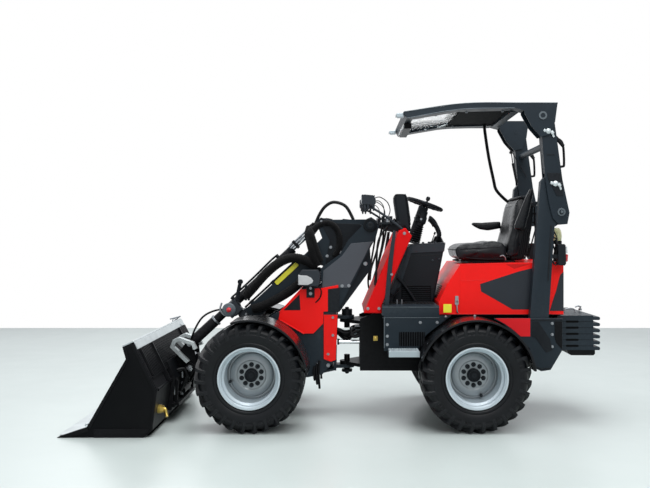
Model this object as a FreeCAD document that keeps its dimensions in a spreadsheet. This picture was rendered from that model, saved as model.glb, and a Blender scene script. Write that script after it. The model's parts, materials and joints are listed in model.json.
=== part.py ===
"""Mini wheel loader: articulated, with a telescopic boom, a bucket and a folding roll-over frame.

Lengths are in millimetres and angles in degrees. X points forward, Y to the left, Z up.
Most shapes are drawn from the steering pivot (X = 0) in the side view and then moved so that
the origin is under the middle of the whole machine. Parts of the boom are drawn in the boom's
own frame: X runs along the boom, Z square to it, from the boom's pivot on the tower.
"""
import FreeCAD
import Part
import math
import os
import Sketcher

Vector = FreeCAD.Vector
doc = FreeCAD.newDocument("mini_wheel_loader")
sheet = doc.addObject("Spreadsheet::Sheet", "Dims")
sheet_row = 0


class Size:
    """A number together with the spreadsheet expression that gives it."""

    def __init__(self, value, text):
        self.value = float(value)
        self.text = text

    def __add__(self, other):
        other = as_size(other)
        return Size(self.value + other.value, f"({self.text} + {other.text})")

    def __sub__(self, other):
        other = as_size(other)
        return Size(self.value - other.value, f"({self.text} - {other.text})")

    def __mul__(self, other):
        other = as_size(other)
        return Size(self.value * other.value, f"({self.text} * {other.text})")

    def __truediv__(self, other):
        other = as_size(other)
        return Size(self.value / other.value, f"({self.text} / {other.text})")

    def __neg__(self):
        return Size(-self.value, f"(0 - {self.text})")

    def __radd__(self, other):
        return as_size(other) + self

    def __rsub__(self, other):
        return as_size(other) - self

    def __rmul__(self, other):
        return as_size(other) * self


def as_size(number):
    if isinstance(number, Size):
        return number
    return Size(number, f"{number:.6g}" if number >= 0 else f"({number:.6g})")


def cosine(angle):
    angle = as_size(angle)
    return Size(math.cos(math.radians(angle.value)), f"cos({angle.text})")


def sine(angle):
    angle = as_size(angle)
    return Size(math.sin(math.radians(angle.value)), f"sin({angle.text})")


def size(name, value):
    """Write one driving size in the sheet, under its own name."""
    global sheet_row
    sheet_row += 1
    sheet.set(f"A{sheet_row}", name)
    sheet.set(f"B{sheet_row}", f"{value:.6g}")
    sheet.setAlias(f"B{sheet_row}", name)
    return Size(value, f"Dims.{name}")


# ---------------------------------------------------------------- driving sizes
wheelbase_front = size("wheelbase_front", 671)
wheelbase_rear = size("wheelbase_rear", 889)
tyre_radius = size("tyre_radius", 380)
tyre_width = size("tyre_width", 345)
track_half = size("track_half", 507)
rim_radius = size("rim_radius", 205)
rim_wall = size("rim_wall", 15)
rim_flange = size("rim_flange", 10)
rim_disc_inset = size("rim_disc_inset", 8)
hub_radius = size("hub_radius", 88)
hub_boss = size("hub_boss", 14)
stub_radius = size("stub_radius", 30)
axle_half_height = size("axle_half_height", 58)

running_gap = size("running_gap", 0.05)
side_gap = size("side_gap", 6)
plate = size("plate", 16)

front_reach = size("front_reach", 1948)
rear_reach = size("rear_reach", 1838)

chassis_half = size("chassis_half", 190)
chassis_low = size("chassis_low", 355)
lug_upper = size("lug_upper", 700)
lug_lower = size("lug_lower", 405)
lug_radius = size("lug_radius", 55)
lug_plate = size("lug_plate", 25)
steer_pin_radius = size("steer_pin_radius", 22)
rear_frame_front = size("rear_frame_front", 96)
rear_frame_end = size("rear_frame_end", 1522)

deck_top = size("deck_top", 859)
deck_depth = size("deck_depth", 70)
deck_half = size("deck_half", 455)
deck_front = size("deck_front", 249)
deck_rear = size("deck_rear", 655)
step_top = size("step_top", 539)
fender_gap = size("fender_gap", 12)
fender_wall = size("fender_wall", 12)

hood_half = size("hood_half", 392)
hood_wall = size("hood_wall", 6)
hood_low = size("hood_low", 790)
hood_top = size("hood_top", 1160)
hood_rear = size("hood_rear", 1554)
hinge_pin_radius = size("hinge_pin_radius", 6)
hinge_reach = size("hinge_reach", 240)
seat_half = size("seat_half", 235)

post_inner = size("post_inner", 409)
post_width = size("post_width", 58)
cheek = size("cheek", 10)
fold_x = size("fold_x", 1514)
fold_z = size("fold_z", 1525)
roof_hinge_x = size("roof_hinge_x", 1380)
roof_hinge_z = size("roof_hinge_z", 2205)
roof_top = size("roof_top", 2297)
fold_pin_radius = size("fold_pin_radius", 16)

boom_pivot_x = size("boom_pivot_x", 173)
boom_pivot_z = size("boom_pivot_z", 1437)
boom_rest_angle = size("boom_rest_angle", 42.8)
boom_pin_radius = size("boom_pin_radius", 30)
tower_inner = size("tower_inner", 172)
tower_plate = size("tower_plate", 18)
tube_low = size("tube_low", 60)
tube_height = size("tube_height", 115)
nose_up = size("nose_up", 135)
tube_half = size("tube_half", 69)
tube_wall = size("tube_wall", 8)
tube_gap = size("tube_gap", 5)
outer_start = size("outer_start", 173)
outer_end = size("outer_end", 1198)
inner_start = size("inner_start", 230)
nose_along = size("nose_along", 1732)
nose_pin_radius = size("nose_pin_radius", 25)
tilt_axis_up = size("tilt_axis_up", 268)
tilt_arm = size("tilt_arm", 181)
tilt_pin_along = size("tilt_pin_along", 250)
tilt_pin_radius = size("tilt_pin_radius", 14)
tilt_rod_radius = size("tilt_rod_radius", 17)
tilt_barrel_radius = size("tilt_barrel_radius", 33)

lift_base_x = size("lift_base_x", 175)
lift_base_z = size("lift_base_z", 484)
lift_eye_along = size("lift_eye_along", 403)
lift_barrel_length = size("lift_barrel_length", 565)
lift_barrel_radius = size("lift_barrel_radius", 42)
lift_rod_radius = size("lift_rod_radius", 25)
eye_half = size("eye_half", 24)

port_radius = size("port_radius", 10)
port_depth = size("port_depth", 45)

tow_bore_radius = size("tow_bore_radius", 16)
bucket_half = size("bucket_half", 750)
bucket_wall = size("bucket_wall", 12)

steer_wheel_radius = size("steer_wheel_radius", 148)
steer_wheel_x = size("steer_wheel_x", 596)
steer_wheel_z = size("steer_wheel_z", 1600)
column_tilt = size("column_tilt", 19.3)

doc.recompute()

# ---------------------------------------------------------------- sizes worked out from these
pivot_x = (rear_reach - front_reach) / 2
axle_z = tyre_radius
hinge_x = hood_rear + hinge_pin_radius + 4
hinge_z = hood_low + 5
boom_cos = cosine(boom_rest_angle)
boom_sin = sine(boom_rest_angle)
tube_high = tube_low + tube_height
nose_x = nose_along * boom_cos + nose_up * boom_sin - boom_pivot_x
nose_z = boom_pivot_z - nose_along * boom_sin + nose_up * boom_cos
lift_eye_x = lift_eye_along * boom_cos - boom_pivot_x
lift_eye_z = boom_pivot_z - lift_eye_along * boom_sin


# ---------------------------------------------------------------- drawing helpers
def new_body(label, x=0, y=0, z=0, turn=0, axis=(0, 1, 0)):
    body = doc.addObject("PartDesign::Body", label)
    body.Label = label
    body.Placement = FreeCAD.Placement(Vector(0, 0, 0), FreeCAD.Rotation(Vector(*axis), 1))
    bind_place(body, x, y, z, turn)
    return body


def bind_place(item, x, y, z, turn):
    for path, value in (("Base.x", x), ("Base.y", y), ("Base.z", z), ("Rotation.Angle", turn)):
        item.setExpression("Placement." + path, as_size(value).text)


def frame_body(label):
    """A body drawn from the steering pivot."""
    return new_body(label, x=pivot_x)


def boom_body(label):
    """A body drawn in the boom's frame, from the boom's pivot."""
    return new_body(label, x=pivot_x - boom_pivot_x, z=boom_pivot_z, turn=boom_rest_angle)


def origin_plane(body, role):
    for item in body.Origin.OriginFeatures:
        if item.Role == role:
            return item


def new_sketch(body, name, role, offset):
    sketch = body.newObject("Sketcher::SketchObject", name + "_sketch")
    sketch.AttachmentSupport = [(origin_plane(body, role), "")]
    sketch.MapMode = "FlatFace"
    sketch.setExpression("AttachmentOffset.Base.z", as_size(offset).text)
    return sketch


def pin_point(sketch, geometry, end, across, up):
    """Tie one point of a sketch to its two sizes."""
    for kind, value in (("DistanceX", as_size(across)), ("DistanceY", as_size(up))):
        number = sketch.addConstraint(
            Sketcher.Constraint(kind, -1, 1, geometry, end, value.value))
        sketch.setExpression(f"Constraints[{number}]", value.text)


def draw_outline(sketch, points):
    count = len(points)
    flat = [Vector(as_size(a).value, as_size(b).value, 0) for a, b in points]
    for index in range(count):
        sketch.addGeometry(Part.LineSegment(flat[index], flat[(index + 1) % count]), False)
    for index in range(count):
        sketch.addConstraint(
            Sketcher.Constraint("Coincident", index, 2, (index + 1) % count, 1))
    for index, (across, up) in enumerate(points):
        pin_point(sketch, index, 1, across, up)


def draw_circle(sketch, across, up, radius):
    across = as_size(across)
    up = as_size(up)
    radius = as_size(radius)
    sketch.addGeometry(
        Part.Circle(Vector(across.value, up.value, 0), Vector(0, 0, 1), radius.value), False)
    pin_point(sketch, 0, 3, across, up)
    number = sketch.addConstraint(Sketcher.Constraint("Radius", 0, radius.value))
    sketch.setExpression(f"Constraints[{number}]", radius.text)


def side_sketch(body, name, y, draw, *shape):
    """A sketch in the side view (X across, Z up) at the given Y."""
    sketch = new_sketch(body, name, "XZ_Plane", -as_size(y))
    draw(sketch, *shape)
    return sketch


def add_pad(body, name, sketch, length):
    feature = body.newObject("PartDesign::Pad", name)
    feature.Profile = sketch
    feature.setExpression("Length", as_size(length).text)
    return feature


def add_pocket(body, name, sketch, length):
    feature = body.newObject("PartDesign::Pocket", name)
    feature.Profile = sketch
    feature.setExpression("Length", as_size(length).text)
    return feature


def slab(body, name, y_low, y_high, points):
    """Add a plate with a side-view outline between two Y values."""
    sketch = side_sketch(body, name, y_high, draw_outline, points)
    return add_pad(body, name, sketch, as_size(y_high) - y_low)


def both_slabs(body, name, y_in, y_out, points):
    """Add the same plate on the left and on the right."""
    slab(body, name + "_left", y_in, y_out, points)
    slab(body, name + "_right", -as_size(y_out), -as_size(y_in), points)


def cut_slab(body, name, y_low, y_high, points):
    sketch = side_sketch(body, name, y_low, draw_outline, points)
    return add_pocket(body, name, sketch, as_size(y_high) - y_low)


def disc(body, name, x, z, radius, y_low, y_high):
    """Add a round boss or pin that runs across the machine."""
    sketch = side_sketch(body, name, y_high, draw_circle, x, z, radius)
    return add_pad(body, name, sketch, as_size(y_high) - y_low)


def both_discs(body, name, x, z, radius, y_in, y_out):
    disc(body, name + "_left", x, z, radius, y_in, y_out)
    disc(body, name + "_right", x, z, radius, -as_size(y_out), -as_size(y_in))


def cut_disc(body, name, x, z, radius, y_low, y_high):
    sketch = side_sketch(body, name, y_low, draw_circle, x, z, radius)
    return add_pocket(body, name, sketch, as_size(y_high) - y_low)


def box_points(x_low, z_low, x_high, z_high):
    return [(x_low, z_low), (x_high, z_low), (x_high, z_high), (x_low, z_high)]


def block(body, name, x_low, x_high, y_low, y_high, z_low, z_high):
    return slab(body, name, y_low, y_high, box_points(x_low, z_low, x_high, z_high))


def both_blocks(body, name, x_low, x_high, y_in, y_out, z_low, z_high):
    both_slabs(body, name, y_in, y_out, box_points(x_low, z_low, x_high, z_high))


def post(body, name, x, y, radius, z_low, z_high):
    """Add an upright round piece."""
    sketch = new_sketch(body, name, "XY_Plane", z_low)
    draw_circle(sketch, x, y, radius)
    return add_pad(body, name, sketch, as_size(z_high) - z_low)


def cut_post(body, name, x, y, radius, z_low, z_high):
    sketch = new_sketch(body, name, "XY_Plane", z_high)
    draw_circle(sketch, x, y, radius)
    return add_pocket(body, name, sketch, as_size(z_high) - z_low)


def rod(body, name, y, z, radius, x_low, x_high):
    """Add a round piece that runs along the body's X axis."""
    sketch = new_sketch(body, name, "YZ_Plane", x_low)
    draw_circle(sketch, y, z, radius)
    return add_pad(body, name, sketch, as_size(x_high) - x_low)


def cut_rod(body, name, y, z, radius, x_low, x_high):
    sketch = new_sketch(body, name, "YZ_Plane", x_high)
    draw_circle(sketch, y, z, radius)
    return add_pocket(body, name, sketch, as_size(x_high) - x_low)


def spin(body, name, points):
    """Turn an outline of (radius, Y) points round the body's Y axis."""
    sketch = new_sketch(body, name, "XY_Plane", 0)
    draw_outline(sketch, points)
    feature = body.newObject("PartDesign::Revolution", name)
    feature.Profile = sketch
    feature.ReferenceAxis = (sketch, ["V_Axis"])
    feature.Angle = 360
    return feature


def arch(body, name, x, z, r_in, r_out, start, end, y_low, y_high):
    """Add a curved band round a wheel, from the start to the end angle."""
    sketch = new_sketch(body, name, "XZ_Plane", -as_size(y_high))
    x = as_size(x)
    z = as_size(z)
    ends = []
    for number, radius in enumerate((as_size(r_in), as_size(r_out))):
        circle = Part.Circle(Vector(x.value, z.value, 0), Vector(0, 0, 1), radius.value)
        arc = Part.ArcOfCircle(circle, math.radians(start), math.radians(end))
        sketch.addGeometry(arc, False)
        pin_point(sketch, number, 3, x, z)
        rule = sketch.addConstraint(Sketcher.Constraint("Radius", number, radius.value))
        sketch.setExpression(f"Constraints[{rule}]", radius.text)
        for end_number, angle in ((1, start), (2, end)):
            across = x + radius * cosine(angle)
            up = z + radius * sine(angle)
            if abs(math.sin(math.radians(angle))) > abs(math.cos(math.radians(angle))):
                kind, value = "DistanceX", across
            else:
                kind, value = "DistanceY", up
            rule = sketch.addConstraint(
                Sketcher.Constraint(kind, -1, 1, number, end_number, value.value))
            sketch.setExpression(f"Constraints[{rule}]", value.text)
            ends.append(Vector(across.value, up.value, 0))
    for line, (first, second) in enumerate(((0, 2), (1, 3))):
        sketch.addGeometry(Part.LineSegment(ends[first], ends[second]), False)
        sketch.addConstraint(Sketcher.Constraint("Coincident", 2 + line, 1, 0, 1 + line))
        sketch.addConstraint(Sketcher.Constraint("Coincident", 2 + line, 2, 1, 1 + line))
    return add_pad(body, name, sketch, as_size(y_high) - y_low)


# ---------------------------------------------------------------- wheels and axles
def make_wheel(place, x, side):
    """A tyre and its rim; side is 1 on the left and -1 on the right."""
    half = tyre_width / 2
    edge = half - 18
    tyre = new_body("tyre_" + place, x=pivot_x + x, y=side * track_half, z=axle_z)
    spin(tyre, "tread_" + place, [
        (rim_radius, -edge), (rim_radius + rim_flange, -edge), (rim_radius + 22, -edge - 12),
        (rim_radius + 95, -half),
        (tyre_radius - 42, 8 - half), (tyre_radius, 40 - half),
        (tyre_radius, half - 40), (tyre_radius - 42, half - 8),
        (rim_radius + 95, half), (rim_radius + 22, edge + 12), (rim_radius + rim_flange, edge),
        (rim_radius, edge)])
    rim = new_body("rim_" + place, x=pivot_x + x, y=side * track_half, z=axle_z)
    inner = rim_radius - rim_wall
    disc_in = -side * (rim_disc_inset + 12)
    disc_out = -side * rim_disc_inset
    hub_out = -side * (rim_disc_inset - hub_boss)
    bore = stub_radius + running_gap
    spin(rim, "barrel_" + place, [
        (inner, -edge), (rim_radius + rim_flange, -edge - 10), (rim_radius + rim_flange, -edge),
        (rim_radius, -edge), (rim_radius, edge), (rim_radius + rim_flange, edge),
        (rim_radius + rim_flange, edge + 10), (inner, edge)])
    spin(rim, "disc_" + place, [
        (bore, disc_in), (inner + 5, disc_in), (inner + 5, disc_out), (inner - 55, disc_out),
        (hub_radius, disc_out), (hub_radius - 8, hub_out), (bore, hub_out)])


def make_axle(label, x):
    axle = frame_body(label)
    x_low = x - axle_half_height
    x_high = x + axle_half_height
    hub_end = track_half - rim_disc_inset - 12 - side_gap
    beam_end = track_half - tyre_width / 2 - 20
    block(axle, label + "_beam", x_low, x_high, -beam_end, beam_end,
          axle_z - axle_half_height, axle_z + axle_half_height)
    both_discs(axle, label + "_hub", x, axle_z, hub_radius, beam_end, hub_end)
    both_discs(axle, label + "_stub", x, axle_z, stub_radius, hub_end,
               track_half - rim_disc_inset + hub_boss - 5)
    disc(axle, label + "_drive", x, axle_z, axle_half_height + 42, -90, 90)


def make_fenders(label, x, start, end):
    fenders = frame_body(label)
    r_in = tyre_radius + fender_gap
    r_out = r_in + fender_wall
    inner = track_half - tyre_width / 2 + 5
    outer = track_half + tyre_width / 2 + 10
    arch(fenders, label + "_left", x, axle_z, r_in, r_out, start, end, inner, outer)
    arch(fenders, label + "_right", x, axle_z, r_in, r_out, start, end, -outer, -inner)
    return fenders


# ---------------------------------------------------------------- rear frame
def make_rear_chassis():
    body = frame_body("rear_chassis")
    inner = chassis_half - plate
    top = deck_top - deck_depth
    axle_x = -wheelbase_rear
    axle_top = axle_z + axle_half_height
    both_slabs(body, "side_plates", inner, chassis_half, [
        (-rear_frame_front, chassis_low), (axle_x + 190, chassis_low),
        (axle_x + 130, axle_top), (axle_x - 130, axle_top), (axle_x - 190, 400),
        (150 - rear_frame_end, 400), (-rear_frame_end, 560), (-rear_frame_end, 700),
        (-rear_frame_end, top), (-rear_frame_front - 120, top), (-rear_frame_front, 740)])
    for name, low in (("upper_lug", lug_upper), ("lower_lug", lug_lower - lug_plate)):
        block(body, name, -rear_frame_front - 260, 0, -inner, inner, low, low + lug_plate)
        post(body, name + "_end", 0, 0, lug_radius, low, low + lug_plate)
        post(body, name + "_pin", 0, 0, steer_pin_radius, low - 45, low + lug_plate + 45)
    for number, side in enumerate((1, -1)):
        sketch = new_sketch(body, f"lug_corner_{number}", "XY_Plane", lug_upper + lug_plate + 1)
        draw_outline(sketch, [
            (20, side * lug_radius), (20, side * (inner + 2)), (6 - rear_frame_front, side * (inner + 2))])
        add_pocket(body, f"lug_corner_cut_{number}", sketch, lug_upper - lug_lower + 2 * lug_plate + 2)
    block(body, "rear_cross_box", -rear_frame_end, 20 - 1310, -post_inner - post_width,
          post_inner + post_width, 560, 700)
    block(body, "front_bulkhead", -500, -484, -inner, inner, 400, top)
    lug_in = hinge_reach + 4
    lug_out = lug_in + 12
    both_slabs(body, "hood_lug", lug_in, lug_out, [
        (-1490, 699), (-1490, 760), (4 - hood_rear, hood_low - 5), (-hinge_x, hood_low - 2),
        (-hinge_x - 8, hood_low), (-hinge_x + 4, 770), (-rear_frame_end, 740),
        (-rear_frame_end, 699)])
    both_discs(body, "hood_lug_end", -hinge_x, hinge_z, hinge_pin_radius + 3, lug_in, lug_out)
    both_discs(body, "hood_pin", -hinge_x, hinge_z, hinge_pin_radius, hinge_reach - 48, lug_out)


def make_side_tanks():
    body = frame_body("side_tanks")
    both_slabs(body, "tank", chassis_half, track_half - tyre_width / 2 - 15, [
        (-268, 560), (-300, 470), (-520, 470), (-560, deck_top - deck_depth),
        (-268, deck_top - deck_depth)])


def make_operator_deck():
    body = frame_body("operator_deck")
    low = deck_top - deck_depth
    block(body, "floor", -deck_rear, -deck_front, -deck_half, deck_half, low, deck_top)
    skirt_in = deck_half - 14
    both_slabs(body, "skirt", skirt_in, deck_half, [
        (-262, low + 10), (-262, step_top), (-500, step_top), (-560, 650), (-680, 745),
        (-740, low), (-deck_rear, low), (-deck_rear, low + 10)])
    both_blocks(body, "step", -503, -289, skirt_in, deck_half + 145, step_top - 20, step_top + 16)


def make_rear_skirts():
    body = frame_body("rear_skirts")
    both_slabs(body, "skirt", post_inner + post_width, post_inner + post_width + 14, [
        (-1306, 430), (-1373, 400), (-1440, 410), (-rear_frame_end, 549),
        (-rear_frame_end, 775), (-1040, 775), (-1040, 766), (-1100, 738), (-1200, 652),
        (-1290, 560)])


def make_front_shield():
    body = frame_body("front_shield")
    slab(body, "shield", -390, 390, [
        (-120, deck_top - 58), (-372, 1392), (-420, 1416), (-467, 1356), (-390, 1180),
        (-deck_front, deck_top), (-deck_front, deck_top - 58)])


def make_console():
    body = frame_body("console")
    slab(body, "pedestal", -155, 155, [
        (-330, deck_top), (-475, 1290), (-735, 1304), (-700, 1120), (-646, deck_top)])


def make_steering_column():
    """The column's shaft carries the steering wheel."""
    body = new_body("steering_column", x=pivot_x - steer_wheel_x, z=steer_wheel_z,
                    turn=-column_tilt)
    post(body, "column_tube", 0, 0, 38, -300, -side_gap - 18)
    post(body, "column_shaft", 0, 0, 10, -side_gap - 18, 14)


def make_steering_wheel():
    body = new_body("steering_wheel", x=pivot_x - steer_wheel_x, z=steer_wheel_z,
                    turn=-column_tilt)
    grip = 14
    sketch = new_sketch(body, "grip_section", "XZ_Plane", 0)
    draw_circle(sketch, steer_wheel_radius - grip, 0, grip)
    ring = body.newObject("PartDesign::Revolution", "grip_ring")
    ring.Profile = sketch
    ring.ReferenceAxis = (sketch, ["V_Axis"])
    ring.Angle = 360
    reach = steer_wheel_radius - grip - 4
    block(body, "spoke_across", -14, 14, -reach, reach, -5, 5)
    block(body, "spoke_rear", -reach, 0, -14, 14, -5, 5)
    post(body, "wheel_hub", 0, 0, 36, -16, 18)
    cut_post(body, "wheel_bore", 0, 0, 10 + running_gap, -20, 15)
    post(body, "spinner_knob", 0, reach + 4, 16, 5, 55)


def make_display_pod():
    body = frame_body("display_pod")
    slab(body, "pod", 120, 250, [
        (-346, 1610), (-345, 1640), (-358, 1667), (-426, 1667), (-440, 1640), (-467, 1440),
        (-472, 1392), (-443.5, 1386), (-420, 1416), (-372, 1392), (-366, 1475)])


def make_control_levers():
    body = frame_body("control_levers")
    slab(body, "joystick_base", -150, -100, [
        (-735, 1304.1), (-690, 1301.7), (-698, 1335), (-722, 1337)])
    slab(body, "joystick", -132, -118, [
        (-718, 1330), (-702, 1330), (-668, 1425), (-684, 1430)])
    slab(body, "stick_grip", -145, -105, [
        (-695, 1425), (-657, 1412), (-632, 1490), (-645, 1508), (-672, 1500)])
    slab(body, "side_lever", 170, 186, [
        (-520, deck_top), (-500, deck_top), (-372, 1040), (-392, 1046)])


def make_work_lights():
    body = frame_body("work_lights")
    both_slabs(body, "lamp", 330, 420, [
        (-101, 1584), (-101, 1645), (-120, 1657), (-190, 1650), (-208, 1625), (-200, 1578)])
    both_slabs(body, "lamp_arm", 366, 386, [
        (-150, 1560), (-165, 1590), (-200, 1590), (-395, 1420), (-395, 1403.5), (-372, 1392)])


def make_engine_block():
    body = frame_body("engine_block")
    inner = chassis_half - plate
    block(body, "engine", -1290, -780, -inner, inner, 520, 1040)


def make_counterweight():
    body = frame_body("counterweight")
    slab(body, "weight", -330, 330, [
        (-1598, 780), (-1598, 540), (-1625, 500), (-1660, 488), (-1815, 488),
        (-rear_reach, 560), (-rear_reach, 765), (-1815, 780)])
    cut_post(body, "tow_pin_bore", -1790, 0, tow_bore_radius, 480, 790)
    block(body, "weight_bracket", -1598, -rear_frame_end, -300, 300, 570, 690)


def make_rops_post(side, sign):
    body = frame_body("rops_post_" + side)
    low = post_inner
    high = post_inner + post_width
    y_low, y_high = (low, high) if sign > 0 else (-high, -low)
    slab(body, "post_" + side, y_low, y_high, [
        (-1290, 700), (-1424, 700), (-1470, 1420), (-1530, 1460), (45 - fold_x - 90, fold_z),
        (-1530, fold_z + 45), (-1462, fold_z + 60), (-1452, 1760), (-1400, 1774), (-1372, 1740)])
    pin_out = 26
    disc(body, "fold_pin_" + side, -fold_x, fold_z, fold_pin_radius,
         y_low - pin_out, y_high + pin_out)


def post_back(height):
    """The X of the lower post's rear edge at a height."""
    return -1424 - (as_size(height) - 700) * 46 / 720


def make_tail_lights():
    body = frame_body("tail_lights")
    both_blocks(body, "tail_lamp", -1545, -1500, post_inner, post_inner + post_width, 1146, 1298)
    both_slabs(body, "tail_arm", post_inner + 12, post_inner + post_width - 12, [
        (-1500, 1195), (post_back(1195), 1195), (post_back(1225), 1225), (-1500, 1225)])


# ---------------------------------------------------------------- hood and seat
def make_engine_hood():
    body = frame_body("engine_hood")
    wall = hood_wall
    slab(body, "hood_shell", -hood_half, hood_half, [
        (-664, hood_low), (-658, 880), (-720, 1010), (-813, hood_top - 9), (-hood_rear, hood_top + 9),
        (-hood_rear, hood_low)])
    cut_slab(body, "hood_hollow", wall - hood_half, hood_half - wall, [
        (-664 - wall, hood_low - 1), (-658 - wall, 880 - 1), (-720 - wall, 1010 - wall),
        (-813 - wall, hood_top - 9 - wall), (wall - hood_rear, hood_top + 9 - wall),
        (wall - hood_rear, hood_low - 1)])
    both_discs(body, "hinge_barrel", -hinge_x, hinge_z, hinge_pin_radius + 5, hinge_reach - 44,
               hinge_reach)
    cut_disc(body, "hinge_bore", -hinge_x, hinge_z, hinge_pin_radius + running_gap,
             -hinge_reach - 1, hinge_reach + 1)


def make_seat():
    base = frame_body("seat_base")
    top = hood_top + 14
    slab(base, "suspension", -190, 190, [
        (-900, hood_top - 6.5), (-900, top), (-1250, top), (-1250, hood_top + 2)])
    cushion = frame_body("seat_cushion")
    slab(cushion, "cushion", -seat_half - 5, seat_half + 5, [
        (-900, top), (-885, top + 20), (-796, top + 74), (-800, top + 100), (-830, top + 118),
        (-905, top + 130), (-1090, top + 143), (-1165, top + 131), (-1187, top + 96),
        (-1187, top)])
    back = frame_body("seat_backrest")
    slab(back, "backrest", -seat_half, seat_half, [
        (-1190, top), (-1190, top + 116), (-1215, 1400), (-1245, 1560), (-1262, 1630),
        (-1295, 1653), (-1350, 1650), (-1380, 1600), (-1370, 1450), (-1330, 1300), (-1290, 1200),
        (-1270, top)])
    rests = frame_body("armrests")
    outer = seat_half + 55
    slab(rests, "armrest_lowered", -outer, -seat_half - 5, [
        (-995, 1440), (-1003, 1456), (-1070, 1469), (-1235, 1474), (-1240, 1414), (-1150, 1396),
        (-1065, 1403)])
    block(rests, "bracket_right", -1275, -1235, -outer, -seat_half, 1393, 1438)
    slab(rests, "armrest_raised", seat_half + 5, outer, [
        (-1228, 1400), (-1305, 1400), (-1340, 1520), (-1372, 1685), (-1358, 1708), (-1342, 1708),
        (-1270, 1560), (-1225, 1430)])
    block(rests, "bracket_left", -1305, -1270, seat_half, outer, 1400, 1430)


# ---------------------------------------------------------------- folding roll-over frame
def make_rops_arm(side, sign):
    body = frame_body("rops_arm_" + side)
    inner_low = post_inner - 5 - cheek
    outer_low = post_inner + post_width + 5
    outline = [
        (-1425, 1600), (-1455, 1480), (-1500, 1435), (-1557, 1440), (-1572, 1520), (-1522, 1752),
        (-1479, 2070), (-1462, 2190), (-1440, 2240), (-1385, 2262), (-1325, 2240), (-1318, 2180),
        (-1376, 2070), (-1401, 1752)]
    web = [
        (-1548, 1632), (-1522, 1752), (-1479, 2070), (-1462, 2190), (-1440, 2240),
        (-1428, 2234), (-1450, 2186), (-1467, 2068), (-1510, 1750), (-1536, 1632)]
    face = [
        (-1401, 1800), (-1376, 2070), (-1318, 2180), (-1330, 2186), (-1388, 2074), (-1413, 1800)]
    for name, low, high, shape in (
            ("cheek_in", inner_low, inner_low + cheek, outline),
            ("cheek_out", outer_low, outer_low + cheek, outline),
            ("rear_web", inner_low, outer_low + cheek, web),
            ("front_web", inner_low, outer_low + cheek, face)):
        y_low, y_high = (low, high) if sign > 0 else (-(outer_low + cheek) if name.endswith("web")
                                                      else -high, -low)
        slab(body, f"{name}_{side}", y_low, y_high, shape)
    y_low, y_high = (inner_low - 1, outer_low + cheek + 1)
    if sign < 0:
        y_low, y_high = -y_high, -y_low
    cut_disc(body, "fold_bore_" + side, -fold_x, fold_z, fold_pin_radius + running_gap,
             y_low, y_high)
    roof_pin_out = 16
    disc(body, "roof_pin_" + side, -roof_hinge_x, roof_hinge_z, fold_pin_radius,
         y_low - roof_pin_out, y_high + roof_pin_out)


def make_rops_cross_tube():
    body = frame_body("rops_cross_tube")
    reach = post_inner - 5 - cheek
    disc(body, "cross_tube", -1432, 2010, 24, -reach, reach)


def make_roof_frame():
    body = frame_body("roof_frame")
    arm_in = post_inner - 5 - cheek
    arm_out = post_inner + post_width + 5 + cheek
    inner = arm_in - 5 - cheek
    outer = arm_out + 5 + cheek
    rail = [
        (-1250, roof_top), (-821, roof_top - 5), (-397, 2229), (-422, 2184), (-793, 2247),
        (-1180, 2258), (-1250, 2240)]
    cheeks = [
        (-1484, roof_top), (-1249, roof_top), (-1249, 2225), (-1300, 2130), (-1366, 2056),
        (-1430, 2070), (-1466, 2160)]
    for side, sign in (("left", 1), ("right", -1)):
        for name, low, high, shape in (
                ("roof_rail", inner, outer, rail),
                ("roof_cheek_in", inner, inner + cheek, cheeks),
                ("roof_cheek_out", outer - cheek, outer, cheeks),
                ("roof_cap", inner, outer, box_points(-1484, roof_top - 10, -1249, roof_top))):
            y_low, y_high = (low, high) if sign > 0 else (-high, -low)
            slab(body, f"{name}_{side}", y_low, y_high, shape)
        y_low, y_high = (inner - 1, outer + 1) if sign > 0 else (-outer - 1, 1 - inner)
        cut_disc(body, "roof_bore_" + side, -roof_hinge_x, roof_hinge_z,
                 fold_pin_radius + running_gap, y_low, y_high)
    block(body, "rear_cross_rail", -1240, -1180, -inner - 1, inner + 1, roof_top - 49,
          roof_top - 12)
    slab(body, "front_cross_rail", -inner - 1, inner + 1, [
        (-397, 2229), (-422, 2184), (-470, 2192), (-450, 2239)])


def make_roof_panel():
    body = frame_body("roof_panel")
    inner = post_inner - 5 - cheek - 5 - cheek
    slab(body, "panel", -inner, inner, [
        (-1230, roof_top - 12), (-1230, roof_top), (-822, roof_top - 6), (-455, 2239),
        (-460, 2226), (-824, roof_top - 19), (-1180, roof_top - 12)])


def make_roof_light_bar():
    body = frame_body("roof_light_bar")
    block(body, "light_bar", -470, -425, -250, 250, 2150, 2184)


def make_grab_rail():
    """A bent rail under the roof, on the right side."""
    body = frame_body("grab_rail")
    slab(body, "rail_run", -356, -330, [
        (-1130, 2250), (-1100, 2250), (-1188, 1748), (-1310, 1622), (-1333, 1612), (-1345, 1630),
        (-1216, 1760)])


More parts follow.
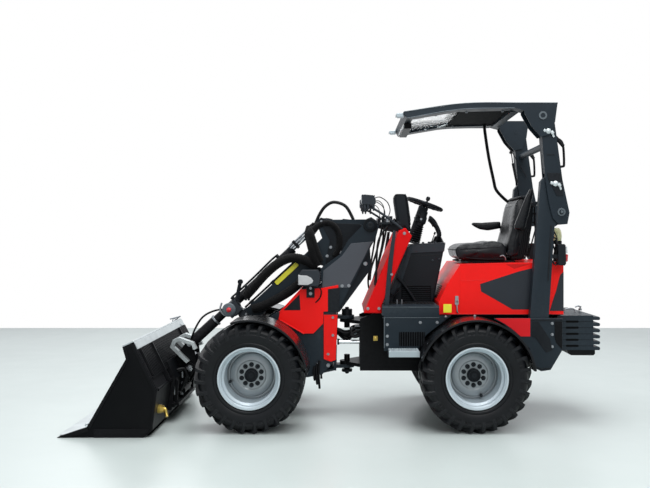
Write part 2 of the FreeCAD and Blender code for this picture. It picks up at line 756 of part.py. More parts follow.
# ---------------------------------------------------------------- front frame
def make_front_chassis():
    body = frame_body("front_chassis")
    inner = chassis_half - plate
    axle_top = axle_z + axle_half_height
    axle_x = wheelbase_front
    both_slabs(body, "front_plates", inner, chassis_half, [
        (80, 800), (80, 440), (182, 328), (292, 306), (axle_x - 190, 306),
        (axle_x - 120, axle_top), (axle_x + 120, axle_top), (900, 440), (905, 520), (760, 640),
        (500, 800)])
    for name, low in (("upper_tongue", lug_upper + lug_plate + 2),
                      ("lower_tongue", lug_lower - 2 * lug_plate - 2)):
        block(body, name, 0, 96, -lug_radius, lug_radius, low, low + lug_plate)
        post(body, name + "_end", 0, 0, lug_radius, low, low + lug_plate)
        cut_post(body, name + "_bore", 0, 0, steer_pin_radius + running_gap, low - 1,
                 low + lug_plate + 1)
    block(body, "rear_wall", 80, 96, -inner, inner, 640, 800)
    block(body, "rear_wall_low", 80, 96, -inner, inner, 353, 460)
    slab(body, "belly_plate", -inner, inner, [
        (96, 353), (200, 330), (300, 312), (500, 312), (500, 328), (302, 328), (202, 346),
        (96, 369)])
    both_slabs(body, "lift_lugs", eye_half + side_gap, eye_half + side_gap + 20, [
        (110, 364), (202, 344), (240, 337), (lift_base_x + 42, lift_base_z + 20),
        (lift_base_x + 20, lift_base_z + 40), (lift_base_x - 20, lift_base_z + 40),
        (lift_base_x - 42, lift_base_z + 10)])
    disc(body, "lift_pin", lift_base_x, lift_base_z, 22, -eye_half - 26, eye_half + 26)
    block(body, "axle_bridge", axle_x - 90, axle_x + 90, -inner, inner, axle_top, axle_top + 16)
    cut_disc(body, "axle_drive_room", axle_x, axle_z, axle_half_height + 48, -96, 96)


def make_lower_panels():
    body = frame_body("lower_panels")
    low = tower_inner + tower_plate
    both_slabs(body, "panel_strip", low, low + 14, [
        (83, 437), (70, 771), (173, 771), (173, 443), (120, 424)])
    both_slabs(body, "panel_plate", low, low + 14, [
        (176, 709), (250, 632), (324, 632), (509, 734), (497, 795), (348, 957), (190, 969),
        (64, 993), (66, 812), (74, 800), (176, 795)])


def make_boom_tower():
    body = frame_body("boom_tower")
    both_slabs(body, "tower_plates", tower_inner, tower_inner + tower_plate, [
        (-140, 1463), (-202, 1475), (-239, 1432), (-213, 1340), (-184, 1289), (37, 856),
        (74, 800), (490, 800), (348, 957), (190, 985), (195, 1116), (52, 1221), (-10, 1327)])
    slab(body, "tower_back", -tower_inner, tower_inner, [
        (-100, 1115), (37, 856), (74, 800), (92, 800), (53, 864), (-86, 1122)])
    slab(body, "rear_box", -100, 100, [
        (-172, 1290), (-183, 1110), (58, 782), (74, 782), (74, 800), (-60, 1115), (-150, 1270)])
    disc(body, "boom_pin", -boom_pivot_x, boom_pivot_z, boom_pin_radius,
         -tower_inner - 30, tower_inner + 30)


def make_front_lamps():
    body = frame_body("front_lamps")
    low = tower_inner + tower_plate + 14
    both_slabs(body, "front_lamp", low + 2, low + 80, [
        (200, 1000), (197, 1085), (215, 1108), (330, 1108), (350, 1085), (350, 1000), (335, 986),
        (215, 986)])
    both_slabs(body, "lamp_bracket", low, low + 10, box_points(240, 900, 300, 1000))


# ---------------------------------------------------------------- lift cylinder
def lift_body(label):
    """A body drawn along the lift cylinder: X runs from its lower pin to its upper pin."""
    rise = math.degrees(math.atan2(lift_eye_z.value - lift_base_z.value,
                                   lift_eye_x.value - lift_base_x.value))
    return new_body(label, x=pivot_x + lift_base_x, z=lift_base_z, turn=-rise)


def make_lift_cylinder():
    body = lift_body("lift_cylinder")
    disc(body, "lift_base_eye", 0, 0, 44, -eye_half, eye_half)
    rod(body, "lift_neck", 0, 0, eye_half, 30, 62)
    rod(body, "lift_barrel", 0, 0, lift_barrel_radius, 60, lift_barrel_length)
    cut_rod(body, "lift_bore", 0, 0, lift_rod_radius + running_gap, 84, lift_barrel_length + 1)
    cut_disc(body, "lift_base_bore", 0, 0, 22 + running_gap, -eye_half - 1, eye_half + 1)


def make_lift_rod():
    body = lift_body("lift_rod")
    reach = Size(math.hypot(lift_eye_x.value - lift_base_x.value,
                            lift_eye_z.value - lift_base_z.value), "0")
    reach.text = (f"sqrt(({lift_eye_x.text} - {lift_base_x.text}) ^ 2"
                  f" + ({lift_eye_z.text} - {lift_base_z.text}) ^ 2)")
    rod(body, "lift_rod_bar", 0, 0, lift_rod_radius, 88, reach - 20)
    disc(body, "lift_rod_eye", reach, 0, 36, -eye_half, eye_half)
    cut_disc(body, "lift_rod_bore", reach, 0, 22, -eye_half - 1, eye_half + 1)


# ---------------------------------------------------------------- boom
def make_boom_outer():
    body = boom_body("boom_outer")
    block(body, "outer_tube", outer_start, outer_end, -tube_half, tube_half, tube_low, tube_high)
    both_slabs(body, "pivot_plates", tube_half, tube_half + plate, [
        (-62, -10), (-30, -55), (30, -60), (lift_eye_along - 23, -48), (lift_eye_along + 27, -38),
        (500, tube_low + 2), (540, tube_high - 5), (330, tube_high),
        (tilt_pin_along + 42, tilt_axis_up + 2), (tilt_pin_along + 15, tilt_axis_up + 30),
        (tilt_pin_along - 18, tilt_axis_up + 28), (tilt_pin_along - 60, tilt_axis_up - 33),
        (-8, 55), (-50, 40)])
    disc(body, "pivot_boss", 0, 0, 50, side_gap - tower_inner, tower_inner - side_gap)
    slab(body, "rear_web", -tube_half, tube_half, [
        (40, tube_low), (outer_start, tube_low), (outer_start, tube_high), (115, tube_high),
        (40, tube_low + 30)])
    both_discs(body, "lift_stub", lift_eye_along, 0, 25, eye_half + side_gap, tube_half + 1)
    wall = tube_wall
    cut_slab(body, "outer_hollow", wall - tube_half, tube_half - wall, box_points(
        inner_start - 40, tube_low + wall, outer_end + 1, tube_high - wall))
    cut_disc(body, "pivot_bore", 0, 0, boom_pin_radius + running_gap, -tower_inner, tower_inner)
    disc(body, "tilt_rod_pin", tilt_pin_along, tilt_axis_up, tilt_pin_radius,
         -tube_half - plate, tube_half + plate)


def make_tilt_rod():
    body = boom_body("tilt_rod")
    disc(body, "tilt_rod_eye", tilt_pin_along, tilt_axis_up, 30, -20, 20)
    rod(body, "tilt_rod_bar", 0, tilt_axis_up, tilt_rod_radius, tilt_pin_along + 20, 1450)
    cut_disc(body, "tilt_rod_bore", tilt_pin_along, tilt_axis_up, tilt_pin_radius, -21, 21)


def make_boom_inner():
    body = boom_body("boom_inner")
    low = tube_low + tube_wall + tube_gap
    high = tube_high - tube_wall - tube_gap
    half = tube_half - tube_wall - tube_gap
    end = nose_along - 70
    block(body, "inner_tube", inner_start, end, -half, half, low, high)
    cut_slab(body, "inner_hollow", 8 - half, half - 8, box_points(
        inner_start - 1, low + 8, end - 40, high - 8))
    both_slabs(body, "nose_plates", half - 18, half, [
        (end - 10, low), (nose_along + 10, low + 8), (nose_along + 45, nose_up - 15),
        (nose_along + 45, nose_up + 20), (nose_along + 15, nose_up + 45),
        (nose_along - 25, nose_up + 40), (end - 10, high)])
    cut_disc(body, "nose_bore", nose_along, nose_up, nose_pin_radius + running_gap, -half - 1,
             half + 1)


def make_coupler_pin():
    body = boom_body("coupler_pin")
    disc(body, "nose_pin", nose_along, nose_up, nose_pin_radius, -118, 118)


def make_tilt_cylinder():
    body = boom_body("tilt_cylinder")
    rod(body, "tilt_barrel", 0, tilt_axis_up, tilt_barrel_radius, 555, 1480)
    cut_rod(body, "tilt_bore", 0, tilt_axis_up, tilt_rod_radius + running_gap, 554, 1470)


def make_tilt_clevis():
    body = boom_body("tilt_clevis")
    ear = nose_along - 121
    rod(body, "tilt_sleeve", 0, tilt_axis_up, tilt_barrel_radius + 7, 1350, ear - 26)
    cut_rod(body, "tilt_sleeve_bore", 0, tilt_axis_up, tilt_barrel_radius + running_gap,
            1349, 1560)
    disc(body, "tilt_eye", ear, tilt_axis_up, 30, -22, 22)
    cut_disc(body, "tilt_eye_bore", ear, tilt_axis_up, 18, -23, 23)


def make_hose_coupler():
    body = boom_body("hose_coupler")
    out = tube_half + 72
    block(body, "coupler_block", 1130, 1235, tube_half + 12, out, 190, 285)
    block(body, "coupler_bracket", 1140, 1190, tube_half, tube_half + 12, tube_low + 20, 250)
    for number, up in enumerate((215, 260)):
        cut_disc(body, f"port_{number}", 1182, up, port_radius, out - port_depth, out)


# ---------------------------------------------------------------- coupler and bucket
def make_quick_coupler():
    body = frame_body("quick_coupler")
    slab(body, "coupler_plate", -330, 330, [
        (1300, 92), (1274, 318), (1330, 434), (1304, 447), (1246, 322), (1272, 90)])
    ear_x = nose_x + tilt_arm * cosine(90)
    ear_z = nose_z + tilt_arm
    both_slabs(body, "coupler_arms", 76, 100, [
        (nose_x - 48, nose_z - 20), (nose_x - 15, nose_z - 50), (1262, 220), (1262, 330),
        (1300, 440), (ear_x + 32, ear_z + 5), (ear_x + 10, ear_z + 30), (ear_x - 20, ear_z + 26),
        (ear_x - 32, ear_z), (nose_x - 48, nose_z + 25)])
    both_discs(body, "ear_stub", ear_x, ear_z, 16, 30, 77)
    cut_disc(body, "coupler_bore", nose_x, nose_z, nose_pin_radius + running_gap, -101, 101)


def make_bucket():
    body = frame_body("bucket")
    wall = bucket_wall
    slab(body, "bucket_shell", -bucket_half, bucket_half, [
        (1364, 0), (front_reach, 0), (front_reach - 20, 12), (1747, 72), (1485, 529), (1508, 609),
        (1434, 643), (1276, 320), (1307, 52)])
    cut_slab(body, "bucket_hollow", wall - bucket_half, bucket_half - wall, [
        (1369, wall), (1319, 57), (1288, 318), (1441, 628), (1502, 600), (1480, 529), (1480, 400),
        (2050, 400), (2050, wall)])


# ---------------------------------------------------------------- steering cylinder
def make_steering_cylinder():
    barrel = frame_body("steering_cylinder")
    height = 560
    side = 108
    post(barrel, "steer_base_eye", -400, side, 32, height - 22, height + 22)
    rod(barrel, "steer_barrel", side, height, 26, -376, -130)
    cut_rod(barrel, "steer_bore", side, height, 15 + running_gap, -340, -129)
    cut_post(barrel, "steer_base_bore", -400, side, 14 + running_gap, height - 23, height + 23)
    bar = frame_body("steering_rod")
    rod(bar, "steer_rod_bar", side, height, 15, -240, 62)
    post(bar, "steer_rod_eye", 84, side, 28, height - 20, height + 20)
    cut_post(bar, "steer_rod_bore", 84, side, 16, height - 21, height + 21)
    return barrel


# ---------------------------------------------------------------- build everything
def make_all():
    for place, x, side in (("front_left", wheelbase_front, 1), ("front_right", wheelbase_front, -1),
                           ("rear_left", -wheelbase_rear, 1), ("rear_right", -wheelbase_rear, -1)):
        make_wheel(place, x, side)
    make_axle("front_axle", wheelbase_front)
    make_axle("rear_axle", -wheelbase_rear)
    make_fenders("front_fenders", wheelbase_front, 72, 176)
    make_fenders("rear_fenders", -wheelbase_rear, 18, 172)
    make_rear_chassis()
    make_side_tanks()
    make_operator_deck()
    make_rear_skirts()
    make_front_shield()
    make_console()
    make_steering_column()
    make_steering_wheel()
    make_display_pod()
    make_control_levers()
    make_work_lights()
    make_engine_block()
    make_counterweight()
    for side, sign in (("left", 1), ("right", -1)):
        make_rops_post(side, sign)
        make_rops_arm(side, sign)
    make_tail_lights()
    make_engine_hood()
    make_seat()
    make_rops_cross_tube()
    make_roof_frame()
    make_roof_panel()
    make_roof_light_bar()
    make_grab_rail()
    make_front_chassis()
    make_lower_panels()
    make_boom_tower()
    make_front_lamps()
    make_lift_cylinder()
    make_lift_rod()
    make_boom_outer()
    make_tilt_rod()
    make_boom_inner()
    make_coupler_pin()
    make_tilt_cylinder()
    make_tilt_clevis()
    make_hose_coupler()
    make_quick_coupler()
    make_bucket()
    make_steering_cylinder()


def check_and_export():
    doc.recompute()
    bodies = [item for item in doc.Objects if item.TypeId == "PartDesign::Body"]
    faults = [item.Name for item in doc.Objects
              if "Invalid" in item.State or "Error" in item.State]
    faults += [item.Label for item in bodies if item.Shape.isNull() or not item.Shape.isValid()]
    if faults:
        raise RuntimeError("these objects have errors: " + ", ".join(faults))
    os.makedirs("parts", exist_ok=True)
    for item in bodies:
        item.Shape.exportStep(f"parts/{item.Label}.step")
        print(item.Label, len(item.Shape.Solids), round(item.Shape.Volume / 1e6, 3))


make_all()
check_and_export()
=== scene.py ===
"""Looks of the mini wheel loader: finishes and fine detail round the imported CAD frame.

Lengths are in metres. Places are given from the steering pivot (X forward, Y left, Z up) by
at(x, y, z), or along the boom from its pivot by on_boom(along, y, up).
"""
import bmesh
import bpy
import json
import math
import random
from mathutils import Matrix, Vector


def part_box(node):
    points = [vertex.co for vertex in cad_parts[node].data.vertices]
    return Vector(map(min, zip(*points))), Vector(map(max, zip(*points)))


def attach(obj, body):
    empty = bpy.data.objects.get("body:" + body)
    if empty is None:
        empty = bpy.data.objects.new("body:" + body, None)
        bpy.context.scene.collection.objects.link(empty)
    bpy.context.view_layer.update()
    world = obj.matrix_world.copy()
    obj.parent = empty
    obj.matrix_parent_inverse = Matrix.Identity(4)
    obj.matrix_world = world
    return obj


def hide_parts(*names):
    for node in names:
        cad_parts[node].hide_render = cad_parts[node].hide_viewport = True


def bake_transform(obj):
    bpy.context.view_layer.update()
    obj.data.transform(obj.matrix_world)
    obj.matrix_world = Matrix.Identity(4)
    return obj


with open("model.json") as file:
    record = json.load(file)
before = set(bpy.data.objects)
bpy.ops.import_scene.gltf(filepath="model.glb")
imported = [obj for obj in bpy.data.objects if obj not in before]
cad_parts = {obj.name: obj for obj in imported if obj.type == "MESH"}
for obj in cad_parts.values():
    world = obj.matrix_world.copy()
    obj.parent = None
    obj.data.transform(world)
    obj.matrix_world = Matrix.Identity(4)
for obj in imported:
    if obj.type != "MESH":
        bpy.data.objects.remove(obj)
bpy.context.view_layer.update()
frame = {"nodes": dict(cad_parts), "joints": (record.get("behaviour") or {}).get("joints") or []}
random.seed(7)


# ---------------------------------------------------------------- landmarks of the frame
joint_of = {joint["name"]: joint for joint in frame["joints"]}
steer_pivot = Vector(joint_of["steer"]["pos_m"])
boom_pivot = Vector(joint_of["boom_lift"]["pos_m"])
boom_axis = Vector(joint_of["boom_extend"]["axis"]).normalized()
boom_rise = Vector((-boom_axis.z, 0, boom_axis.x))
wheel_places = ("front_left", "front_right", "rear_left", "rear_right")
SIDES = (("left", 1), ("right", -1))
X_AXIS = Vector((1, 0, 0))
Y_AXIS = Vector((0, 1, 0))
Z_AXIS = Vector((0, 0, 1))


def at(x, y, z):
    """A place measured from the steering pivot."""
    return Vector((steer_pivot.x + x, y, z))


def to_place(place):
    """A place as a vector: a tuple is measured from the steering pivot."""
    return at(*place) if isinstance(place, tuple) else Vector(place)


def on_boom(along, y, up):
    """A place measured from the boom's pivot, along the boom and square to it."""
    return boom_pivot + boom_axis * along + boom_rise * up + Vector((0, y, 0))


# ---------------------------------------------------------------- mesh building
class Shape:
    """Collects the faces of one mesh, each with the number of its material."""

    def __init__(self):
        self.verts = []
        self.faces = []
        self.marks = []

    def add(self, verts, faces, mark=0):
        first = len(self.verts)
        self.verts.extend(Vector(v) for v in verts)
        for face in faces:
            self.faces.append([first + i for i in face])
            self.marks.append(mark)

    def box(self, low, high, mark=0, place=at):
        (x0, y0, z0), (x1, y1, z1) = low, high
        corners = [place(x, y, z) for z in (z0, z1) for x, y in ((x0, y0), (x1, y0), (x1, y1),
            (x0, y1))]
        self.add(corners, [(3, 2, 1, 0), (4, 5, 6, 7), (0, 1, 5, 4), (1, 2, 6, 5), (2, 3, 7, 6),
            (3, 0, 4, 7)], mark)

    def prism(self, outline, y_low, y_high, mark=0, place=at):
        """A plate with a side-view outline of (x, z) points."""
        count = len(outline)
        verts = [place(x, y, z) for y in (y_low, y_high) for x, z in outline]
        faces = [tuple(range(count)), tuple(range(2 * count - 1, count - 1, -1))]
        faces += [(i, (i + 1) % count, count + (i + 1) % count, count + i) for i in range(count)]
        self.add(verts, faces, mark)

    def both_prisms(self, outline, y_in, y_out, mark=0, place=at):
        """The same plate on the left and the right."""
        self.prism(outline, y_in, y_out, mark, place)
        self.prism(outline, -y_out, -y_in, mark, place)

    def side_box(self, sign, low, high, mark=0):
        """A box on the left (sign 1) or right (-1), with Y measured outward."""
        y_low, y_high = sorted((sign * low[1], sign * high[1]))
        self.box((low[0], y_low, low[2]), (high[0], y_high, high[2]), mark)

    def side_prism(self, sign, outline, y_in, y_out, mark=0, place=at):
        """A plate on the left (sign 1) or right (-1), with Y measured outward."""
        self.prism(outline, *sorted((sign * y_in, sign * y_out)), mark, place)

    def lathe(self, profile, origin, axis, sides=48, mark=0, closed=False):
        """Turn a profile of (radius, along) points round an axis."""
        origin = to_place(origin)
        axis = Vector(axis).normalized()
        across = axis.orthogonal().normalized()
        other = axis.cross(across)
        verts = []
        for step in range(sides):
            angle = 2 * math.pi * step / sides
            out = across * math.cos(angle) + other * math.sin(angle)
            verts += [origin + axis * a + out * r for r, a in profile]
        count = len(profile)
        faces = []
        for step in range(sides):
            ahead = (step + 1) % sides
            for i in range(count if closed else count - 1):
                j = (i + 1) % count
                faces.append((step * count + i, step * count + j, ahead * count + j,
                    ahead * count + i))
        if not closed:
            for end in (0, count - 1):
                if profile[end][0] > 0:
                    faces.append(tuple(s * count + end for s in range(sides)))
        self.add(verts, faces, mark)

    def rod(self, start, end, radius, sides=16, mark=0, end_radius=None):
        start, end = to_place(start), to_place(end)
        length = (end - start).length
        far = radius if end_radius is None else end_radius
        self.lathe([(radius, 0), (far, length)], start, end - start, sides, mark)

    def bolt(self, place, direction, radius=0.011):
        """A washer and a hexagon head on a surface."""
        direction = Vector(direction).normalized()
        place = to_place(place)
        self.rod(place, place + direction * 0.003, radius * 1.25, 14)
        head = place + direction * 0.003
        self.lathe([(radius, 0), (radius, radius * 0.55), (radius * 0.8, radius * 0.8)], head,
            direction, 6)

    def tube(self, points, radius, sides=10, steps=6, ribs=0.0, pitch=0.012):
        """A round hose through the points; ribs is the depth of its corrugation."""
        path = smooth_path([to_place(point) for point in points], steps)
        if ribs:
            path = even_path(path, pitch / 2)
        normal = (path[1] - path[0]).orthogonal().normalized()
        verts = []
        for i, point in enumerate(path):
            ahead = (path[min(i + 1, len(path) - 1)] - path[max(i - 1, 0)]).normalized()
            normal = (normal - ahead * normal.dot(ahead)).normalized()
            other = ahead.cross(normal)
            size = radius - (ribs if ribs and i % 2 else 0)
            for k in range(sides):
                angle = 2 * math.pi * k / sides
                verts.append(point + (normal * math.cos(angle) + other * math.sin(angle)) * size)
        faces = []
        for i in range(len(path) - 1):
            for k in range(sides):
                j = (k + 1) % sides
                faces.append((i * sides + k, i * sides + j, (i + 1) * sides + j,
                    (i + 1) * sides + k))
        faces.append(tuple(range(sides - 1, -1, -1)))
        faces.append(tuple((len(path) - 1) * sides + k for k in range(sides)))
        self.add(verts, faces)

    def build(self, name, body, materials, slot=None, bevel=0.0, smooth=38):
        mesh = bpy.data.meshes.new(name)
        mesh.from_pydata([tuple(v) for v in self.verts], [], self.faces)
        for material in materials:
            mesh.materials.append(material)
        mesh.polygons.foreach_set("material_index", self.marks)
        tidy_normals(mesh)
        shade(mesh, smooth)
        piece = bpy.data.objects.new(name, mesh)
        bpy.context.scene.collection.objects.link(piece)
        if bevel:
            add_bevel(piece, bevel)
        if body:
            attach(piece, body)
        return piece


def tidy_normals(mesh):
    work = bmesh.new()
    work.from_mesh(mesh)
    bmesh.ops.recalc_face_normals(work, faces=work.faces)
    work.to_mesh(mesh)
    work.free()


def shade(mesh, angle):
    mesh.polygons.foreach_set("use_smooth", [True] * len(mesh.polygons))
    mesh.set_sharp_from_angle(angle=math.radians(angle))


def add_bevel(piece, width, weld=False):
    if weld:
        joined = piece.modifiers.new("weld", "WELD")
        joined.merge_threshold = 5e-05
    modifier = piece.modifiers.new("bevel", "BEVEL")
    modifier.width = width
    modifier.segments = 2
    modifier.limit_method = "ANGLE"
    modifier.angle_limit = math.radians(38)
    modifier.use_clamp_overlap = True
    modifier.harden_normals = False


def smooth_path(points, steps=6):
    """Points along a smooth line that passes through the given ones."""
    if len(points) < 3:
        return points
    padded = [2 * points[0] - points[1]] + points + [2 * points[-1] - points[-2]]
    path = []
    for i in range(len(points) - 1):
        a, b, c, d = padded[i:i + 4]
        for step in range(steps):
            t = step / steps
            path.append(0.5 * (2 * b + (c - a) * t + (2 * a - 5 * b + 4 * c - d) * t * t + (3 * b
                - a - 3 * c + d) * t ** 3))
    path.append(points[-1])
    return path


def even_path(path, pitch):
    """The same line, cut into equal short steps."""
    result = [path[0]]
    left = pitch
    for a, b in zip(path, path[1:]):
        length = (b - a).length
        done = 0.0
        while length - done >= left and length > 0:
            done += left
            result.append(a.lerp(b, done / length))
            left = pitch
        left -= length - done
    return result


def round_points(x, z, radius, start, end, steps):
    """Points of an arc in the side view, from the start to the end angle."""
    return [(x + radius * math.cos(math.radians(start + (end - start) * i / steps)),
        z + radius * math.sin(math.radians(start + (end - start) * i / steps)))
        for i in range(steps + 1)]


# ---------------------------------------------------------------- materials
def scaled(color, factor):
    return (*(min(1.0, c * factor) for c in color), 1.0)


def new_material(name, color, rough, metal=0.0, coat=0.0, tone=0.12, tone_scale=4.0,
                 grain=0.05, grain_scale=300.0, grain_kind="noise", wear=None,
                 sheen=0.0, dust=0.0, spec=0.5):
    """A finish whose colour, roughness and surface all vary a little over the piece."""
    material = bpy.data.materials.new(name)
    material.use_nodes = True
    nodes = material.node_tree.nodes
    links = material.node_tree.links
    shader = nodes["Principled BSDF"]
    shader.inputs["Metallic"].default_value = metal
    shader.inputs["Coat Weight"].default_value = coat
    shader.inputs["Coat Roughness"].default_value = 0.12
    shader.inputs["Specular IOR Level"].default_value = spec
    shader.inputs["Sheen Weight"].default_value = sheen
    place = nodes.new("ShaderNodeTexCoord").outputs["Object"]

    def noise(scale, detail):
        node = nodes.new("ShaderNodeTexNoise")
        node.inputs["Scale"].default_value = scale
        node.inputs["Detail"].default_value = detail
        links.new(place, node.inputs["Vector"])
        return node.outputs["Fac"]

    ramp = nodes.new("ShaderNodeValToRGB")
    ramp.color_ramp.elements[0].position = 0.3
    ramp.color_ramp.elements[1].position = 0.7
    ramp.color_ramp.elements[0].color = scaled(color, 1 - tone)
    ramp.color_ramp.elements[1].color = scaled(color, 1 + tone)
    links.new(noise(tone_scale, 5.0), ramp.inputs["Fac"])
    tint = ramp.outputs["Color"]
    if wear is not None:
        tint = mix_in(nodes, links, tint, wear, edge_mask(nodes, links, noise(60, 4), 0.5))
    if dust:
        tint = mix_in(nodes, links, tint, (0.15, 0.155, 0.16), dust_mask(nodes, links, noise(9, 8),
            dust))
    links.new(tint, shader.inputs["Base Color"])
    spread = nodes.new("ShaderNodeMapRange")
    spread.inputs["To Min"].default_value = max(0.02, rough - 0.07)
    spread.inputs["To Max"].default_value = min(1.0, rough + 0.07)
    links.new(noise(tone_scale * 5, 4.0), spread.inputs["Value"])
    links.new(spread.outputs["Result"], shader.inputs["Roughness"])
    if grain:
        bump = nodes.new("ShaderNodeBump")
        bump.inputs["Strength"].default_value = grain
        bump.inputs["Distance"].default_value = 0.002
        if grain_kind == "leather":
            cells = nodes.new("ShaderNodeTexVoronoi")
            cells.feature = "DISTANCE_TO_EDGE"
            cells.inputs["Scale"].default_value = grain_scale
            links.new(place, cells.inputs["Vector"])
            height = cells.outputs["Distance"]
        elif grain_kind == "weave":
            waves = nodes.new("ShaderNodeTexWave")
            waves.bands_direction = "DIAGONAL"
            waves.inputs["Scale"].default_value = grain_scale
            waves.inputs["Distortion"].default_value = 1.5
            links.new(place, waves.inputs["Vector"])
            height = waves.outputs["Fac"]
        else:
            height = noise(grain_scale, 3.0)
        links.new(height, bump.inputs["Height"])
        links.new(bump.outputs["Normal"], shader.inputs["Normal"])
    return material


def mix_in(nodes, links, base, color, share):
    mix = nodes.new("ShaderNodeMix")
    mix.data_type = "RGBA"
    links.new(share, mix.inputs["Factor"])
    links.new(base, mix.inputs["A"])
    mix.inputs["B"].default_value = (*color, 1)
    return mix.outputs["Result"]


def edge_mask(nodes, links, grime, share):
    """Where corners stand out, broken up by noise."""
    corner = nodes.new("ShaderNodeNewGeometry").outputs["Pointiness"]
    ramp = nodes.new("ShaderNodeMapRange")
    ramp.inputs["From Min"].default_value = 0.53
    ramp.inputs["From Max"].default_value = 0.62
    links.new(corner, ramp.inputs["Value"])
    product = nodes.new("ShaderNodeMath")
    product.operation = "MULTIPLY"
    links.new(ramp.outputs["Result"], product.inputs[0])
    links.new(grime, product.inputs[1])
    soft = nodes.new("ShaderNodeMath")
    soft.operation = "MULTIPLY"
    soft.inputs[1].default_value = share
    links.new(product.outputs[0], soft.inputs[0])
    return soft.outputs[0]


def dust_mask(nodes, links, patches, share):
    """Dust that lies in patches."""
    ramp = nodes.new("ShaderNodeMapRange")
    ramp.inputs["From Min"].default_value = 0.45
    ramp.inputs["From Max"].default_value = 0.75
    ramp.inputs["To Max"].default_value = share
    links.new(patches, ramp.inputs["Value"])
    return ramp.outputs["Result"]


def clear_material(name, color, rough, alpha_like=0.9, stripes=0.0):
    material = new_material(name, color, rough, tone=0.05, grain=stripes, grain_scale=120,
        grain_kind="weave" if stripes else "noise", coat=0.3)
    shader = material.node_tree.nodes["Principled BSDF"]
    shader.inputs["Transmission Weight"].default_value = alpha_like
    shader.inputs["IOR"].default_value = 1.45
    return material


slate = new_material("slate_paint", (0.0105, 0.0175, 0.0245), 0.42, coat=0.03, tone=0.1,
    grain=0.04, wear=(0.1, 0.12, 0.14), dust=0.01, spec=0.16)
slate_dark = new_material("slate_dark_paint", (0.005, 0.0066, 0.009), 0.45, coat=0.0, tone=0.15,
    grain=0.05, wear=(0.06, 0.07, 0.08), dust=0.01, spec=0.12)
fender_gloss = new_material("fender_gloss", (0.0045, 0.005, 0.006), 0.27, coat=0.35, tone=0.15,
    tone_scale=1.5, grain=0.0)
disc_grey = new_material("rim_disc_paint", (0.27, 0.295, 0.31), 0.34, metal=0.5, tone=0.08,
    grain=0.03)
black_paint = new_material("black_paint", (0.0022, 0.0026, 0.0033), 0.4, coat=0.0, tone=0.2,
    grain=0.04, wear=(0.05, 0.05, 0.055), dust=0.006, spec=0.08)
red = new_material("red_paint_gloss", (0.93, 0.01, 0.0085), 0.34, coat=0.04, tone=0.05,
    tone_scale=2.5, grain=0.012, grain_scale=220, wear=(0.45, 0.02, 0.015), spec=0.14)
# The front shield wears the same red paint as the hood; this darker copy of that red is painted
# shade for the less-lit shield.
shield_red_shaded = new_material("shield_red_painted_shade", (0.62, 0.01, 0.011), 0.45, tone=0.06, tone_scale=2.5,
    grain=0.01, spec=0.02)
graphic = new_material("graphic_film", (0.019, 0.023, 0.03), 0.38, coat=0.05, tone=0.08,
    grain=0.02, spec=0.2)
plastic = new_material("moulded_plastic", (0.0072, 0.0095, 0.0125), 0.55, tone=0.12, grain=0.25,
    grain_scale=420, spec=0.15)
plastic_grey = new_material("grey_plastic", (0.022, 0.027, 0.034), 0.5, tone=0.1, grain=0.2,
    grain_scale=420, spec=0.2)
rubber = new_material("tyre_rubber", (0.004, 0.0048, 0.0062), 0.4, tone=0.25, tone_scale=14,
    grain=0.16, grain_scale=170, wear=(0.026, 0.028, 0.031), dust=0.008, spec=0.2)
hose_rubber = new_material("hose_rubber", (0.0045, 0.005, 0.0058), 0.48, tone=0.2, grain=0.2,
    grain_scale=500, spec=0.15)
sleeve = new_material("hose_sleeve", (0.0046, 0.0046, 0.0052), 0.75, tone=0.25, tone_scale=30,
    grain=0.8, grain_scale=420, grain_kind="weave", sheen=0.05, spec=0.08)
silver = new_material("rim_silver_paint", (0.5, 0.58, 0.63), 0.36, metal=0.15, coat=0.3, tone=0.07,
    grain=0.03, wear=(0.55, 0.58, 0.6), dust=0.08)
zinc = new_material("zinc_plating", (0.3, 0.32, 0.34), 0.36, metal=0.85, tone=0.12, tone_scale=40,
    grain=0.06)
chrome = new_material("hard_chrome", (0.72, 0.74, 0.76), 0.12, metal=1.0, tone=0.05, grain=0.01)
brass = new_material("brass_fitting", (0.55, 0.4, 0.1), 0.32, metal=0.9, tone=0.15, grain=0.05)
# On the roof's corner lamps this pale alloy also serves as a painted highlight for the glints on
# them.
alloy_and_glint = new_material("bright_alloy_and_painted_glint", (0.36, 0.42, 0.45), 0.35, metal=0.6, tone=0.12, grain=0.15,
    grain_scale=160)
steel_bright = new_material("worn_steel", (0.52, 0.57, 0.58), 0.34, metal=0.55, tone=0.12,
    tone_scale=9, grain=0.1, grain_scale=90)
vinyl = new_material("seat_vinyl", (0.0046, 0.006, 0.0082), 0.29, coat=0.06, tone=0.15, grain=0.35,
    grain_scale=330, grain_kind="leather", spec=0.22)
yellow = new_material("yellow_plate", (0.8, 0.74, 0.035), 0.4, tone=0.06, grain=0.04)
red_plastic = new_material("red_plastic", (0.6, 0.02, 0.03), 0.35, coat=0.3, tone=0.08, grain=0.05)
beacon = clear_material("pale_beacon", (0.72, 0.74, 0.42), 0.3, 0.35, 0.3)
lens = clear_material("lamp_lens", (0.8, 0.82, 0.84), 0.15, 0.35, 0.5)
red_lens = clear_material("tail_lens", (0.62, 0.01, 0.015), 0.15, 0.3, 0.4)
clear = clear_material("clear_strip", (0.94, 0.96, 0.97), 0.06, 1.0)
# Besides real rubbed steel parts, this light grey also paints a highlight on the thin lines along
# the roof's sides.
steel_grey = new_material("rubbed_steel_and_painted_highlight", (0.085, 0.105, 0.12), 0.4, metal=0.3, tone=0.2,
    grain=0.05)


